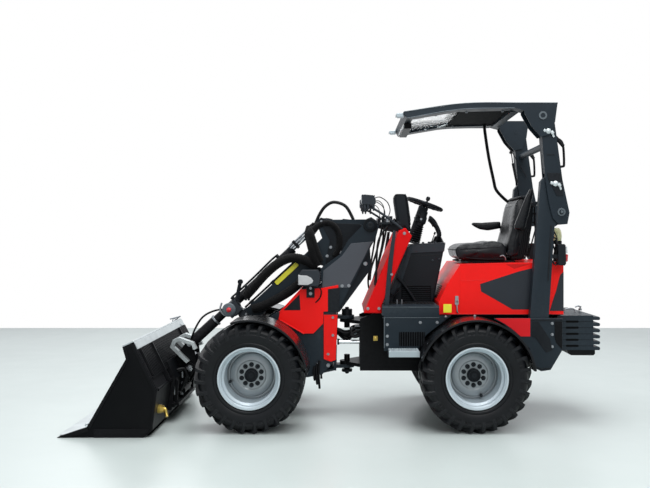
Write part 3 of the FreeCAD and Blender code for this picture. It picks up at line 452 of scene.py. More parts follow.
# ---------------------------------------------------------------- finishes of the CAD nodes
node_finish = {
    slate: ("operator_deck", "rear_skirts", "boom_tower", "front_chassis", "rops_post_left",
        "rops_post_right", "rops_arm_left", "rops_arm_right", "roof_frame", "rops_cross_tube",
        "boom_outer"),
    fender_gloss: ("front_fenders", "rear_fenders"),
    black_paint: ("side_tanks", "rear_chassis", "bucket", "grab_rail", "boom_inner",
        "tilt_cylinder", "tilt_clevis", "lift_cylinder", "quick_coupler", "roof_light_bar"),
    red: ("engine_hood", "lower_panels"),
    shield_red_shaded: ("front_shield",),
    plastic: ("console", "steering_column", "display_pod", "seat_base", "work_lights",
        "front_lamps", "tail_lights", "control_levers", "steering_wheel", "armrests"),
    chrome: ("tilt_rod", "lift_rod", "steering_rod", "coupler_pin"),
    silver: ("rim_front_left", "rim_front_right", "rim_rear_left", "rim_rear_right"),
    rubber: ("tyre_front_left", "tyre_front_right", "tyre_rear_left", "tyre_rear_right"),
    vinyl: ("seat_cushion", "seat_backrest"),
    plastic_grey: ("hose_coupler",),
    slate_dark: ("counterweight", "front_axle", "rear_axle", "engine_block", "steering_cylinder",
        "roof_panel"),
}
node_bevel = {
    "engine_hood": 0.01, "front_shield": 0.008, "console": 0.014, "display_pod": 0.022,
    "roof_frame": 0.004, "boom_outer": 0.005, "boom_inner": 0.004, "boom_tower": 0.003,
    "operator_deck": 0.003, "rear_skirts": 0.003, "lower_panels": 0.003, "front_chassis": 0.003,
    "rear_chassis": 0.003, "side_tanks": 0.01, "rops_post_left": 0.004, "rops_post_right": 0.004,
    "rops_arm_left": 0.003, "rops_arm_right": 0.003, "quick_coupler": 0.003, "bucket": 0.003,
    "work_lights": 0.008, "front_lamps": 0.012, "front_axle": 0.008, "rear_axle": 0.008,
    "engine_block": 0.006, "hose_coupler": 0.004, "roof_panel": 0.003, "grab_rail": 0.01,
    "roof_light_bar": 0.006,
}


def finish_nodes():
    for material, names in node_finish.items():
        for name in names:
            node = frame["nodes"][name]
            node.data.materials.clear()
            node.data.materials.append(material)
    for name, width in node_bevel.items():
        add_bevel(frame["nodes"][name], width, weld=True)


# ---------------------------------------------------------------- wheels
def tyre_sizes(place):
    low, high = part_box("tyre_" + place)
    centre = (low + high) / 2
    return centre, (high.z - low.z) / 2, (high.y - low.y) / 2


def tyre_profile(radius, half):
    """Half of the carcass section, from the bead to the crown, as (radius, across)."""
    return [(0.206, half - 0.02), (0.216, half - 0.012), (0.222, half - 0.014),
        (0.229, half - 0.007), (0.24, half - 0.006), (0.246, half - 0.01), (0.262, half - 0.002),
        (0.285, half - 0.0005), (0.3, half - 0.0005), (0.303, half - 0.003), (0.318, half - 0.003),
        (0.322, half - 0.0015), (0.334, half - 0.008), (radius - 0.033, half - 0.02),
        (radius - 0.025, half - 0.04), (radius - 0.021, half - 0.085), (radius - 0.02, 0.0)]


def make_tyre(place, forward):
    """A lugged tyre: chevron bars that run over the shoulder and down the side."""
    centre, radius, half = tyre_sizes(place)
    upper = tyre_profile(radius, half)
    profile = upper + [(r, -a) for r, a in reversed(upper[:-1])]
    shape = Shape()
    shape.lathe(profile, centre, Y_AXIS, 120, 0, closed=True)
    crown = radius - 0.022
    bar_count = 27
    for side in (1, -1):
        for index in range(bar_count):
            start = 2 * math.pi * (index + (0.5 if side < 0 else 0)) / bar_count
            add_lug(shape, centre, start, side, forward, radius, crown, half)
            if index % 3 == 0:
                add_shoulder_block(shape, centre, start, side, forward, radius, half)
    piece = shape.build("tyre_lugged_" + place, "wheel_" + place, [rubber], "tyre", smooth=30)
    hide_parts("tyre_" + place)


def add_lug(shape, centre, start, side, forward, radius, crown, half):
    sweep = math.radians(17) * forward
    stations = [(0.006, crown, radius, 0.0, 0.03), (half - 0.1, crown, radius, 0.42, 0.029),
        (half - 0.045, crown - 0.004, radius - 0.001, 0.8, 0.031),
        (half - 0.018, crown - 0.012, radius - 0.006, 0.97, 0.031),
        (half - 0.0055, crown - 0.03, radius - 0.024, 1.02, 0.029),
        (half - 0.0005, crown - 0.062, radius - 0.06, 1.06, 0.026)]
    verts = []
    for across, low, high, turn, width in stations:
        angle = start - sweep * turn
        for level, share in ((low, 1.12), (high, 0.78)):
            for edge in (-0.5, 0.5):
                a = angle + edge * share * width / radius
                verts.append(centre + Vector((level * math.cos(a),
                    side * across + (0.0025 * side if level == high and across > half - 0.02
                    else 0), level * math.sin(a))))
    faces = [(0, 1, 3, 2)]
    for i in range(len(stations) - 1):
        a, b = 4 * i, 4 * (i + 1)
        faces += [(a, a + 2, b + 2, b), (a + 1, b + 1, b + 3, a + 3), (a + 2, a + 3, b + 3, b + 2),
            (a, b, b + 1, a + 1)]
    last = 4 * (len(stations) - 1)
    faces.append((last, last + 2, last + 3, last + 1))
    shape.add(verts, faces)


def add_shoulder_block(shape, centre, start, side, forward, radius, half):
    """A small wear bar between two lugs, low on the side."""
    angle = start + math.radians(3) * forward
    place = centre + Vector(((radius - 0.07) * math.cos(angle), side * (half - 0.001),
        (radius - 0.07) * math.sin(angle)))
    out = Vector((math.cos(angle), 0, math.sin(angle)))
    shape.rod(place - out * 0.011, place + out * 0.011, 0.0035, 6)


def make_rim(place, side):
    """A stepped steel rim with a dished disc, nuts, a hub cap and a valve."""
    centre = tyre_sizes(place)[0]
    low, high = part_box("rim_" + place)
    face = high.y - centre.y if side > 0 else centre.y - low.y
    flange = (high.z - low.z) / 2
    outward = Y_AXIS * side
    disc = -0.008
    profile = [(flange, -face), (flange, -face + 0.008), (flange - 0.01, -face + 0.01),
        (flange - 0.012, -0.06), (flange - 0.012, face - 0.012), (flange - 0.009, face - 0.009),
        (flange, face - 0.007), (flange, face - 0.001), (flange - 0.004, face),
        (flange - 0.011, face - 0.001), (flange - 0.017, face - 0.012),
        (flange - 0.021, face - 0.016), (flange - 0.023, face - 0.05),
        (flange - 0.03, face - 0.056), (flange - 0.037, face - 0.062), (flange - 0.039, 0.03),
        (flange - 0.04, disc + 0.01), (flange - 0.04, disc - 0.03), (flange - 0.038, -0.08),
        (flange - 0.02, -face)]
    shape = Shape()
    shape.lathe(profile, centre, outward, 72, 0, closed=True)
    reach = flange - 0.039
    plate = [(reach, disc - 0.016), (reach, disc - 0.004), (reach - 0.006, disc - 0.001),
        (reach - 0.012, disc - 0.01), (reach - 0.02, disc - 0.01), (reach - 0.028, disc + 0.004),
        (reach - 0.05, disc + 0.012), (0.105, disc + 0.014), (0.098, disc + 0.009),
        (0.046, disc + 0.009), (0.046, disc - 0.016)]
    shape.lathe(plate, centre, outward, 72, 2, closed=True)
    cap = [(0.047, disc), (0.047, disc + 0.04), (0.043, disc + 0.047), (0.036, disc + 0.049),
        (0.034, disc + 0.044), (0.012, disc + 0.044), (0.0, disc + 0.045)]
    shape.lathe(cap, centre, outward, 36, 1)
    for index in range(10):
        angle = 2 * math.pi * (index + 0.5) / 10
        spoke = X_AXIS * math.cos(angle) + Z_AXIS * math.sin(angle)
        base = Vector(centre) + spoke * 0.0725 + outward * (disc + 0.009)
        shape.lathe([(0.0165, 0.0), (0.0165, 0.004), (0.012, 0.006)], base, outward, 20, 1)
        shape.lathe([(0.0115, 0.0), (0.0115, 0.016), (0.009, 0.019)], base + outward * 0.004,
            outward, 6, 1)
    stem = Vector(centre) + X_AXIS * (0.148 if "front" in place else -0.052)
    stem += Z_AXIS * (-0.045 if "front" in place else -0.142) + outward * (disc + 0.012)
    shape.rod(stem, stem + outward * 0.012, 0.011, 14, 1)
    shape.rod(stem + outward * 0.012, stem + outward * 0.036, 0.006, 10, 1)
    piece = shape.build("rim_detail_" + place, "wheel_" + place, [silver, slate_dark, disc_grey],
        "rim_silver", smooth=32)
    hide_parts("rim_" + place)


def make_wheels():
    for place in wheel_places:
        make_tyre(place, 1)
        make_rim(place, 1 if place.endswith("left") else -1)


# ---------------------------------------------------------------- bucket and coupler
def on_bucket_back(along, y, out):
    """A place on the bucket's slanted upper back."""
    low, high = Vector((1.276, 0, 0.320)), Vector((1.434, 0, 0.643))
    rise = (high - low).normalized()
    away = Vector((-rise.z, 0, rise.x))
    spot = low + rise * along + away * out
    return at(spot.x, y, spot.z)


def make_bucket_detail():
    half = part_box("bucket")[1].y
    trim = Shape()
    for index in range(46):
        y = -half + 0.04 + index * (2 * half - 0.08) / 45
        trim.box((0.09, y - 0.0065, -0.001), (0.302, y + 0.0065, 0.018), 0, on_bucket_back)
    trim.box((0.08, -half + 0.01, -0.001), (0.094, half - 0.01, 0.0125), 0, on_bucket_back)
    for y in (-0.45, 0.45):
        trim.box((0.0, y - 0.006, -0.001), (0.3, y + 0.006, 0.03), 0, on_bucket_back)
    for sign in (1, -1):
        y_in, y_out = half - 0.001, half + 0.007
        trim.side_prism(sign, [(1.948, 0.001), (1.928, 0.012), (1.747, 0.072), (1.736, 0.046),
            (1.87, 0.001)], y_in, y_out)
        trim.side_prism(sign, [(1.747, 0.072), (1.485, 0.529), (1.508, 0.609), (1.492, 0.616),
            (1.466, 0.53), (1.728, 0.062)], y_in, y_out)
        trim.side_prism(sign, [(1.33, 0.06), (1.305, 0.075), (1.28, 0.318), (1.432, 0.632),
            (1.452, 0.624), (1.304, 0.318), (1.326, 0.083)], y_in, y_out)
        trim.side_prism(sign, [(1.366, 0.001), (1.33, 0.06), (1.7, 0.06), (1.7, 0.001)], y_in,
            y_out)
    trim.box((1.33, -half + 0.02, 0.0115), (1.88, half - 0.02, 0.0135))
    for index in range(7):
        y = -0.6 + 0.2 * index
        trim.box((1.4, y - 0.03, 0.0002), (1.72, y + 0.03, 0.0012))
    trim.tube([(1.275, -half + 0.02, 0.318), (1.275, 0.0, 0.318), (1.275, half - 0.02, 0.318)],
        0.011, 12)
    trim.build("bucket_ribs_and_edges", "tool", [black_paint], "black_steel", bevel=0.0015)
    bright = Shape()
    bright.box((0.303, -half + 0.004, -0.001), (0.358, half - 0.004, 0.006), 0, on_bucket_back)
    bright.prism([(1.434, 0.641), (1.44, 0.6505), (1.512, 0.6165), (1.508, 0.607)], -half + 0.004,
        half - 0.004)
    bright.prism([(1.8, 0.0135), (1.944, 0.0135), (1.93, 0.0175), (1.8, 0.0175)], -half + 0.014,
        half - 0.014)
    for index in range(8):
        y = -0.66 + index * 1.32 / 7
        bright.bolt((1.84, y, 0.0175), Z_AXIS, 0.014)
    bright.build("bucket_bright_edges", "tool", [steel_bright], "black_steel", bevel=0.002)
    hook = Shape()
    hook.tube([(1.47, -0.62, 0.63), (1.425, -0.62, 0.672), (1.418, -0.62, 0.676),
        (1.5, -0.62, 0.655)], 0.006, 8)
    hook.tube([(1.48, -0.62, 0.62), (1.465, -0.62, 0.66), (1.4, -0.62, 0.6)], 0.005, 8)
    hook.build("bucket_wire_hook", "tool", [zinc], "black_steel")
    fitting = Shape()
    fitting.rod((1.296, 0.64, 0.17), (1.272, 0.64, 0.17), 0.03, 24)
    fitting.lathe([(0.024, 0), (0.024, 0.016), (0.019, 0.02)], (1.273, 0.64, 0.17), -X_AXIS, 6)
    fitting.tube([(1.262, 0.64, 0.17), (1.245, 0.64, 0.166), (1.24, 0.64, 0.14),
        (1.232, 0.65, 0.118)], 0.011, 12)
    fitting.build("bucket_brass_fitting", "tool", [brass], "black_steel", bevel=0.001)


def make_coupler_detail():
    shape = Shape()
    outer = [(1.128, 0.51), (1.15, 0.56), (1.262, 0.598), (1.306, 0.578), (1.328, 0.522),
        (1.206, 0.402)]
    inner = [(1.182, 0.418), (1.294, 0.526), (1.284, 0.556), (1.26, 0.568), (1.166, 0.538),
        (1.152, 0.502)]
    shape.both_prisms(outer + inner, 0.102, 0.146)
    shape.build("coupler_bright_guard", "tool", [steel_bright], "black_steel", bevel=0.0015)
    dark = Shape()
    for sign in (1, -1):
        for y in (0.100, 0.290):
            dark.side_prism(sign, [(1.262, 0.105), (1.236, 0.15), (1.23, 0.3), (1.262, 0.33)], y,
                y + 0.014)
        dark.rod((1.262, sign * 0.2, 0.13), (1.262, sign * 0.326, 0.13), 0.02, 20)
        dark.rod((1.262, sign * 0.326, 0.13), (1.262, sign * 0.345, 0.13), 0.014, 16)
        dark.side_prism(sign, [(1.286, 0.395), (1.316, 0.44), (1.335, 0.47), (1.352, 0.462),
            (1.335, 0.432), (1.3, 0.39)], 0.24, 0.275)
        dark.rod((1.19, sign * 0.1, 0.5405), (1.19, sign * 0.114, 0.5405), 0.03, 24)
        dark.rod((1.19, sign * 0.1, 0.359), (1.19, sign * 0.11, 0.359), 0.044, 28)
    dark.box((1.225, -0.3, 0.118), (1.262, 0.3, 0.142))
    dark.rod((1.246, -0.1, 0.19), (1.246, 0.1, 0.19), 0.026, 20)
    dark.rod((1.246, 0.1, 0.19), (1.246, 0.205, 0.19), 0.012, 14)
    dark.rod((1.246, -0.205, 0.19), (1.246, -0.1, 0.19), 0.012, 14)
    dark.build("coupler_lock_and_ribs", "tool", [black_paint], "black_steel", bevel=0.0015)
    bolts = Shape()
    for sign in (1, -1):
        for x, z in ((1.238, 0.250), (1.244, 0.170)):
            bolts.bolt((x, sign * 0.114, z), Y_AXIS * sign, 0.01)
        bolts.bolt((1.19, sign * 0.114, 0.5405), Y_AXIS * sign, 0.013)
        bolts.rod((1.258, sign * 0.305, 0.2), (1.258, sign * 0.305, 0.27), 0.006, 10)
        bolts.rod((1.23, sign * 0.16, 0.36), (1.23, sign * 0.16, 0.3), 0.009, 10)
    bolts.build("coupler_bolts", "tool", [zinc], "black_steel")
    hoses = Shape()
    for y, lift in ((0.150, 0.0), (0.175, 0.018), (-0.150, 0.006)):
        hoses.tube([(1.246, y * 0.9, 0.205), (1.215, y, 0.245 + lift), (1.195, y, 0.3 + lift),
            (1.215, y * 1.05, 0.35 + lift), (1.262, y * 1.15, 0.345 + lift)], 0.01, 10)
    hoses.build("coupler_lock_hoses", "tool", [hose_rubber], "black_plastic")
    pin = Shape()
    for sign in (1, -1):
        pin.bolt((1.19, sign * 0.1185, 0.3593), Y_AXIS * sign, 0.013)
    pin.build("coupler_pin_bolts", "nose_pin", [zinc], "chrome_rod")


# ---------------------------------------------------------------- boom
def make_boom_detail():
    dark = Shape()
    top = 0.175
    for y_in, y_out in ((0.069, 0.076), (-0.076, -0.069)):
        dark.box((1.13, y_in, 0.066), (1.194, y_out, top - 0.006), 0, on_boom)
    dark.box((1.13, -0.07, top - 0.001), (1.194, 0.07, top + 0.007), 0, on_boom)
    dark.box((1.13, -0.07, 0.053), (1.194, 0.07, 0.061), 0, on_boom)
    for sign in (1, -1):
        plate = [(0.02, -0.03), (0.36, -0.03), (0.43, 0.03), (0.3, 0.12), (0.27, 0.235),
            (0.225, 0.235), (0.18, 0.19), (0.05, 0.06)]
        dark.side_prism(sign, plate, 0.0845, 0.0895, 0, on_boom)
        dark.rod(on_boom(0.25, sign * 0.085, 0.268), on_boom(0.25, sign * 0.097, 0.268), 0.027, 24)
        dark.rod(on_boom(0.403, sign * 0.085, 0.0), on_boom(0.403, sign * 0.095, 0.0), 0.036, 24)
    dark.tube([on_boom(0.56, 0.05, top + 0.012), on_boom(0.8, 0.05, top + 0.012),
        on_boom(1.12, 0.05, top + 0.012)], 0.008, 8)
    dark.tube([on_boom(0.56, 0.026, top + 0.012), on_boom(0.8, 0.026, top + 0.012),
        on_boom(1.12, 0.026, top + 0.012)], 0.008, 8)
    for along in (0.60, 0.82, 1.04):
        dark.box((along, 0.01, top - 0.001), (along + 0.03, 0.064, top + 0.022), 0, on_boom)
    dark.build("boom_plates_and_pipes", "boom", [slate_dark], "anthracite_steel", bevel=0.0015)
    zinc_bits = Shape()
    for sign in (1, -1):
        for along in (1.146, 1.178):
            for up in (0.085, 0.145):
                zinc_bits.bolt(on_boom(along, sign * 0.076, up), Y_AXIS * sign, 0.008)
        for along, up in ((0.330, 0.080), (0.395, 0.050), (0.120, 0.020), (0.300, 0.0)):
            zinc_bits.bolt(on_boom(along, sign * 0.0895, up), Y_AXIS * sign, 0.009)
        zinc_bits.bolt(on_boom(0.25, sign * 0.097, 0.268), Y_AXIS * sign, 0.01)
    for along in (1.146, 1.178):
        for y in (-0.04, 0.04):
            zinc_bits.bolt(on_boom(along, y, top + 0.007), boom_rise, 0.008)
    zinc_bits.build("boom_bolts", "boom", [zinc], "black_steel")
    blank = Shape()
    blank.both_prisms([(0.6, 0.15), (0.606, 0.143), (0.818, 0.143), (0.824, 0.15),
        (0.824, 0.172), (0.818, 0.178), (0.606, 0.178), (0.6, 0.172)], 0.0692, 0.0722, 0, on_boom)
    blank.build("boom_yellow_plates", "boom", [yellow], "black_steel", bevel=0.0008)
    edge = Shape()
    for sign in (1, -1):
        edge.side_prism(sign, [(0.594, 0.146), (0.602, 0.137), (0.822, 0.137), (0.83, 0.146),
            (0.83, 0.176), (0.822, 0.184), (0.602, 0.184), (0.594, 0.176)], 0.0688, 0.0702, 0,
            on_boom)
    edge.build("boom_plate_edges", "boom", [black_paint], "black_steel")


def make_tilt_detail():
    """Gland nuts, pipes and hoses along the tilt cylinder."""
    gland = Shape()
    gland.lathe([(0.0175, -0.004), (0.03, -0.004), (0.034, 0.0), (0.034, 0.03), (0.0335, 0.034)],
        on_boom(0.555, 0, 0.268), boom_axis, 28)
    gland.rod(on_boom(0.68, 0, 0.301), on_boom(0.68, 0, 0.322), 0.014, 16)
    gland.rod(on_boom(1.15, 0, 0.301), on_boom(1.15, 0, 0.318), 0.014, 16)
    gland.tube([on_boom(0.68, 0, 0.316), on_boom(0.74, 0, 0.318), on_boom(0.92, 0.012, 0.312),
        on_boom(1.09, 0.008, 0.312), on_boom(1.15, 0, 0.314)], 0.008, 10)
    gland.build("tilt_gland_and_pipe", "tilt_barrel", [slate_dark], "black_steel", bevel=0.001)
    sleeves = Shape()
    sleeves.tube([(0.225, 0.108, 1.12), (0.294, 0.112, 1.162), (0.369, 0.11, 1.188),
        (0.4446, 0.106, 1.186), (0.535, 0.1, 1.14), (0.6255, 0.094, 1.06), (0.701, 0.09, 0.974),
        (0.772, 0.086, 0.896)], 0.037, 16, ribs=0.0026, pitch=0.013)
    sleeves.build("tilt_hose_sleeve", "boom", [sleeve], "black_plastic", smooth=60)
    rods = Shape()
    for y, up in ((0.034, 0.300), (-0.034, 0.300), (0.052, 0.281)):
        rods.rod(on_boom(0.3, y, up), on_boom(0.56, y, up), 0.0065, 12)
    for along, y, up in ((0.330, 0.034, 0.300), (0.440, -0.034, 0.300), (0.470, 0.052, 0.281),
                         (0.520, 0.034, 0.300)):
        rods.rod(on_boom(along, y, up), on_boom(along + 0.03, y, up), 0.011, 6)
    rods.build("boom_bright_pipes", "boom", [zinc], "chrome_rod")
    clips = Shape()
    clips.box((0.3, -0.046, 0.292), (0.32, 0.062, 0.312), 0, on_boom)
    clips.box((0.5, -0.046, 0.292), (0.522, 0.062, 0.312), 0, on_boom)
    clips.box((0.5, 0.042, 0.24), (0.522, 0.062, 0.293), 0, on_boom)
    clips.build("boom_pipe_clips", "boom", [black_paint], "black_steel", bevel=0.001)


def make_nose_detail():
    """What sits on the boom's front end."""
    shape = Shape()
    for sign in (1, -1):
        shape.rod(on_boom(1.732, sign * 0.056, 0.135), on_boom(1.732, sign * 0.066, 0.135), 0.047,
            28)
    shape.box((1.63, -0.03, 0.158), (1.67, 0.03, 0.182), 0, on_boom)
    shape.build("nose_bosses", "boom_telescope", [black_paint], "black_steel", bevel=0.0015)
    bits = Shape()
    for sign in (1, -1):
        for along, up in ((1.665, 0.110), (1.690, 0.165)):
            bits.bolt(on_boom(along, sign * 0.056, up), Y_AXIS * sign, 0.008)
    for y in (-0.015, 0.015):
        bits.rod(on_boom(1.65, y, 0.182), on_boom(1.65, y, 0.2), 0.01, 6)
    bits.build("nose_fittings", "boom_telescope", [zinc], "black_steel")
    loop = Shape()
    loop.tube([on_boom(1.19, 0.04, 0.24), on_boom(1.3, 0.046, 0.322), on_boom(1.4, 0.05, 0.352),
        on_boom(1.5, 0.05, 0.33), on_boom(1.585, 0.04, 0.29), on_boom(1.6, 0.036, 0.275)], 0.0075,
        10)
    loop.build("nose_thin_loop", "tilt_front", [hose_rubber], "black_plastic")
    clevis = Shape()
    clevis.lathe([(0.0335, 0.0), (0.0455, 0.0), (0.0455, 0.012), (0.042, 0.016)],
        on_boom(1.35, 0, 0.268), boom_axis, 28)
    for sign in (1, -1):
        clevis.rod(on_boom(1.611, sign * 0.022, 0.268), on_boom(1.611, sign * 0.028, 0.268), 0.024,
            22)
    clevis.build("tilt_clevis_rings", "tilt_front", [zinc], "black_steel", bevel=0.001)


def make_multi_coupler():
    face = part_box("hose_coupler")[1].y
    centre = on_boom(1.182, 0, 0.238)
    shape = Shape()
    place = Vector((centre.x, face - 0.075, centre.z))
    shape.lathe([(0.0, 0.0), (0.05, 0.0), (0.058, 0.008), (0.058, 0.052), (0.052, 0.06),
        (0.052, 0.07), (0.02, 0.073)], place, Y_AXIS, 40)
    shape.box((1.14, face - 0.016, 0.196), (1.225, face - 0.001, 0.212), 0, on_boom)
    shape.build("coupler_round_housing", "boom", [plastic_grey], "black_plastic", bevel=0.002)
    ring = Shape()
    for up in (0.215, 0.260):
        middle = on_boom(1.182, 0, up)
        start = Vector((middle.x, face - 0.012, middle.z))
        ring.lathe([(0.0105, 0.0), (0.0165, 0.0), (0.0165, 0.0115), (0.0105, 0.0115)], start,
            Y_AXIS, 28, closed=True)
    ring.tube([on_boom(1.225, face - 0.02, 0.206), on_boom(1.262, face - 0.02, 0.245),
        on_boom(1.258, face - 0.02, 0.3), on_boom(1.215, face - 0.02, 0.33)], 0.007, 10)
    ring.build("coupler_rings_and_lever", "boom", [zinc], "chrome_rod")
    dial = Shape()
    dial.lathe([(0.0, 0.0), (0.047, 0.0), (0.051, 0.003), (0.051, 0.009), (0.046, 0.012),
        (0.028, 0.012), (0.026, 0.016), (0.0, 0.016)], Vector((at(0.885, 0, 0).x, face - 0.004,
        0.803)), Y_AXIS, 40)
    dial.build("coupler_round_plate", "boom", [steel_grey], "lamp_body", bevel=0.001)
    knob = Shape()
    spot = at(0.885, 0, 0.803)
    knob.lathe([(0.01, 0.0), (0.017, 0.004), (0.019, 0.014), (0.016, 0.024), (0.007, 0.028),
        (0.0, 0.0285)], Vector((spot.x, face - 0.002, spot.z)), Y_AXIS, 28)
    knob.build("coupler_red_knob", "boom", [red_plastic], "red_paint")
    arm = Shape()
    low_end, high_end = at(0.826, 0.118, 0.838), at(0.803, 0.118, 1.012)
    arm.tube([low_end, low_end * 0.5 + high_end * 0.5 + X_AXIS * 0.006, high_end], 0.014, 14)
    arm.rod(high_end - Y_AXIS * 0.016, high_end + Y_AXIS * 0.016, 0.019, 20)
    arm.rod(low_end - Y_AXIS * 0.02, low_end + Y_AXIS * 0.02, 0.024, 20)
    for shift in (0.048, 0.070):
        arm.rod((0.812 - shift, 0.098, 0.87), (0.812 - shift, 0.098, 0.985), 0.009, 12)
    arm.build("coupler_upright_arm", "boom", [slate_dark], "anthracite_steel", bevel=0.002)


def make_boom_hoses():
    """Hoses held at both ends, on the boom and between the boom and its tower."""
    loop = Shape()
    loop.tube([on_boom(0.3, 0.01, 0.29), on_boom(0.225, 0.012, 0.322), on_boom(0.15, 0.012, 0.338),
        on_boom(0.08, 0.01, 0.318), on_boom(0.035, 0.01, 0.24), on_boom(0.05, 0.01, 0.15),
        on_boom(0.075, 0.01, 0.085)], 0.0125, 12)
    loop.build("boom_loop_hose", "boom", [hose_rubber], "black_plastic")
    side = Shape()
    side.tube([on_boom(0.345, 0.052, 0.292), on_boom(0.385, 0.085, 0.262),
        on_boom(0.425, 0.118, 0.19), on_boom(0.47, 0.122, 0.105), on_boom(0.495, 0.118, 0.04)],
        0.036, 14, ribs=0.0022, pitch=0.011)
    side.tube([on_boom(0.33, 0.02, 0.29), on_boom(0.36, 0.105, 0.27), on_boom(0.395, 0.125, 0.2),
        on_boom(0.43, 0.128, 0.12), on_boom(0.455, 0.122, 0.05)], 0.026, 14, ribs=0.0022,
        pitch=0.011)
    side.tube([(0.352, 0.116, 1.01), (0.375, 0.116, 0.984), (0.445, 0.116, 0.931),
        (0.533, 0.116, 0.879), (0.622, 0.114, 0.834), (0.715, 0.106, 0.804)], 0.036, 14,
        ribs=0.0022, pitch=0.011)
    side.build("boom_side_sleeves", "boom", [sleeve], "black_plastic", smooth=60)
    arch = Shape()
    for y, lift, size in ((0.035, 0.0, 0.030), (-0.030, 0.008, 0.027), (0.092, -0.006, 0.024)):
        arch.tube([(0.27, y, 1.385 + lift), (0.225, y, 1.437 + lift), (0.16, y, 1.462 + lift),
            (0.098, y, 1.44 + lift), (0.06, y, 1.372 + lift), (0.06, y, 1.285 + lift),
            (0.095, y, 1.205 + lift)], size, 14, steps=8, ribs=0.0022, pitch=0.011)
    piece = arch.build("tower_hose_arch", None, [sleeve], smooth=60)
    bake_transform(piece)


# ---------------------------------------------------------------- tower and front frame
def make_tower_detail():
    raised = Shape()
    side_plate = [(-0.196, 1.316), (-0.172, 1.29), (-0.128, 1.198), (-0.01, 0.972), (0.185, 0.972),
        (0.176, 1.098), (0.04, 1.206), (-0.03, 1.3)]
    raised.both_prisms(side_plate, 0.1895, 0.1925)
    raised.build("tower_side_cover", "front_frame", [new_material("tower_grey_paint",
        (0.038, 0.045, 0.058), 0.42, coat=0.15, tone=0.08, grain=0.04)], "anthracite_steel",
        bevel=0.0015)
    rings = Shape()
    for sign in (1, -1):
        y = sign * 0.19
        rings.lathe([(0.033, 0.0), (0.052, 0.0), (0.052, 0.01), (0.046, 0.013), (0.033, 0.013)],
            (-0.173, y, 1.437), Y_AXIS * sign, 36, closed=True)
        rings.lathe([(0.0, 0.012), (0.02, 0.012), (0.022, 0.008), (0.022, 0.0)],
            (-0.173, sign * 0.2005, 1.437), Y_AXIS * sign, 28)
    rings.build("tower_pin_rings", "front_frame", [slate_dark], "anthracite_steel", bevel=0.001)
    bolts = Shape()
    for sign in (1, -1):
        for x, z in ((0.036, 0.985), (-0.014, 0.987), (0.106, 0.876)):
            bolts.bolt((x, sign * 0.19, z), Y_AXIS * sign, 0.01)
        for x, z in ((0.105, 0.752), (0.140, 0.480), (0.105, 0.620)):
            bolts.bolt((x, sign * 0.204, z), Y_AXIS * sign, 0.008)
        for x, z in ((0.220, 0.400), (0.140, 0.395), (0.60, 0.56), (0.76, 0.56)):
            bolts.bolt((x, sign * 0.19, z), Y_AXIS * sign, 0.011)
        bolts.bolt((-0.137, sign * 0.19, 1.15), Y_AXIS * sign, 0.012)
    bolts.build("tower_bolts", "front_frame", [zinc], "black_steel")
    panel = Shape()
    panel.both_prisms([(0.345, 0.806), (0.47, 0.806), (0.352, 0.925)], 0.2035, 0.2055)
    panel.both_prisms([(0.142, 0.792), (0.056, 0.792), (0.056, 0.974), (0.142, 0.962)], 0.2035,
        0.205)
    panel.build("panel_dark_windows", "front_frame", [slate_dark], "black_steel", bevel=0.0008)
    trim = Shape()
    for sign in (1, -1):
        trim.tube([(0.5, sign * 0.204, 0.79), (0.348, sign * 0.204, 0.955),
            (0.345, sign * 0.204, 0.956)], 0.004, 8)
        trim.tube([(0.495, sign * 0.204, 0.732), (0.335, sign * 0.206, 0.64),
            (0.322, sign * 0.206, 0.632)], 0.004, 8)
    trim.build("panel_edge_beads", "front_frame", [red], "red_paint")
    strips = Shape()
    for sign in (1, -1):
        for index in range(3):
            x = 0.205 + 0.018 * index
            strips.tube([(x, sign * 0.2, 0.43 - 0.02 * index), (x + 0.006, sign * 0.206, 0.35),
                (x - 0.002, sign * 0.204, 0.225 + 0.03 * index)], 0.0085, 8)
    strips.build("front_frame_drain_hoses", "front_frame", [hose_rubber], "black_plastic")
    inside = Shape()
    for y, bend in ((0.060, 0.0), (0.095, 0.02), (-0.060, 0.01), (-0.100, 0.03)):
        inside.tube([(-0.07, y, 1.18), (-0.03, y, 1.12 - bend), (0.02, y, 1.0),
            (0.06, y * 0.9, 0.9), (0.1, y * 0.8, 0.8 - bend)], 0.013, 10)
    inside.build("tower_inner_hoses", "front_frame", [hose_rubber], "black_plastic")


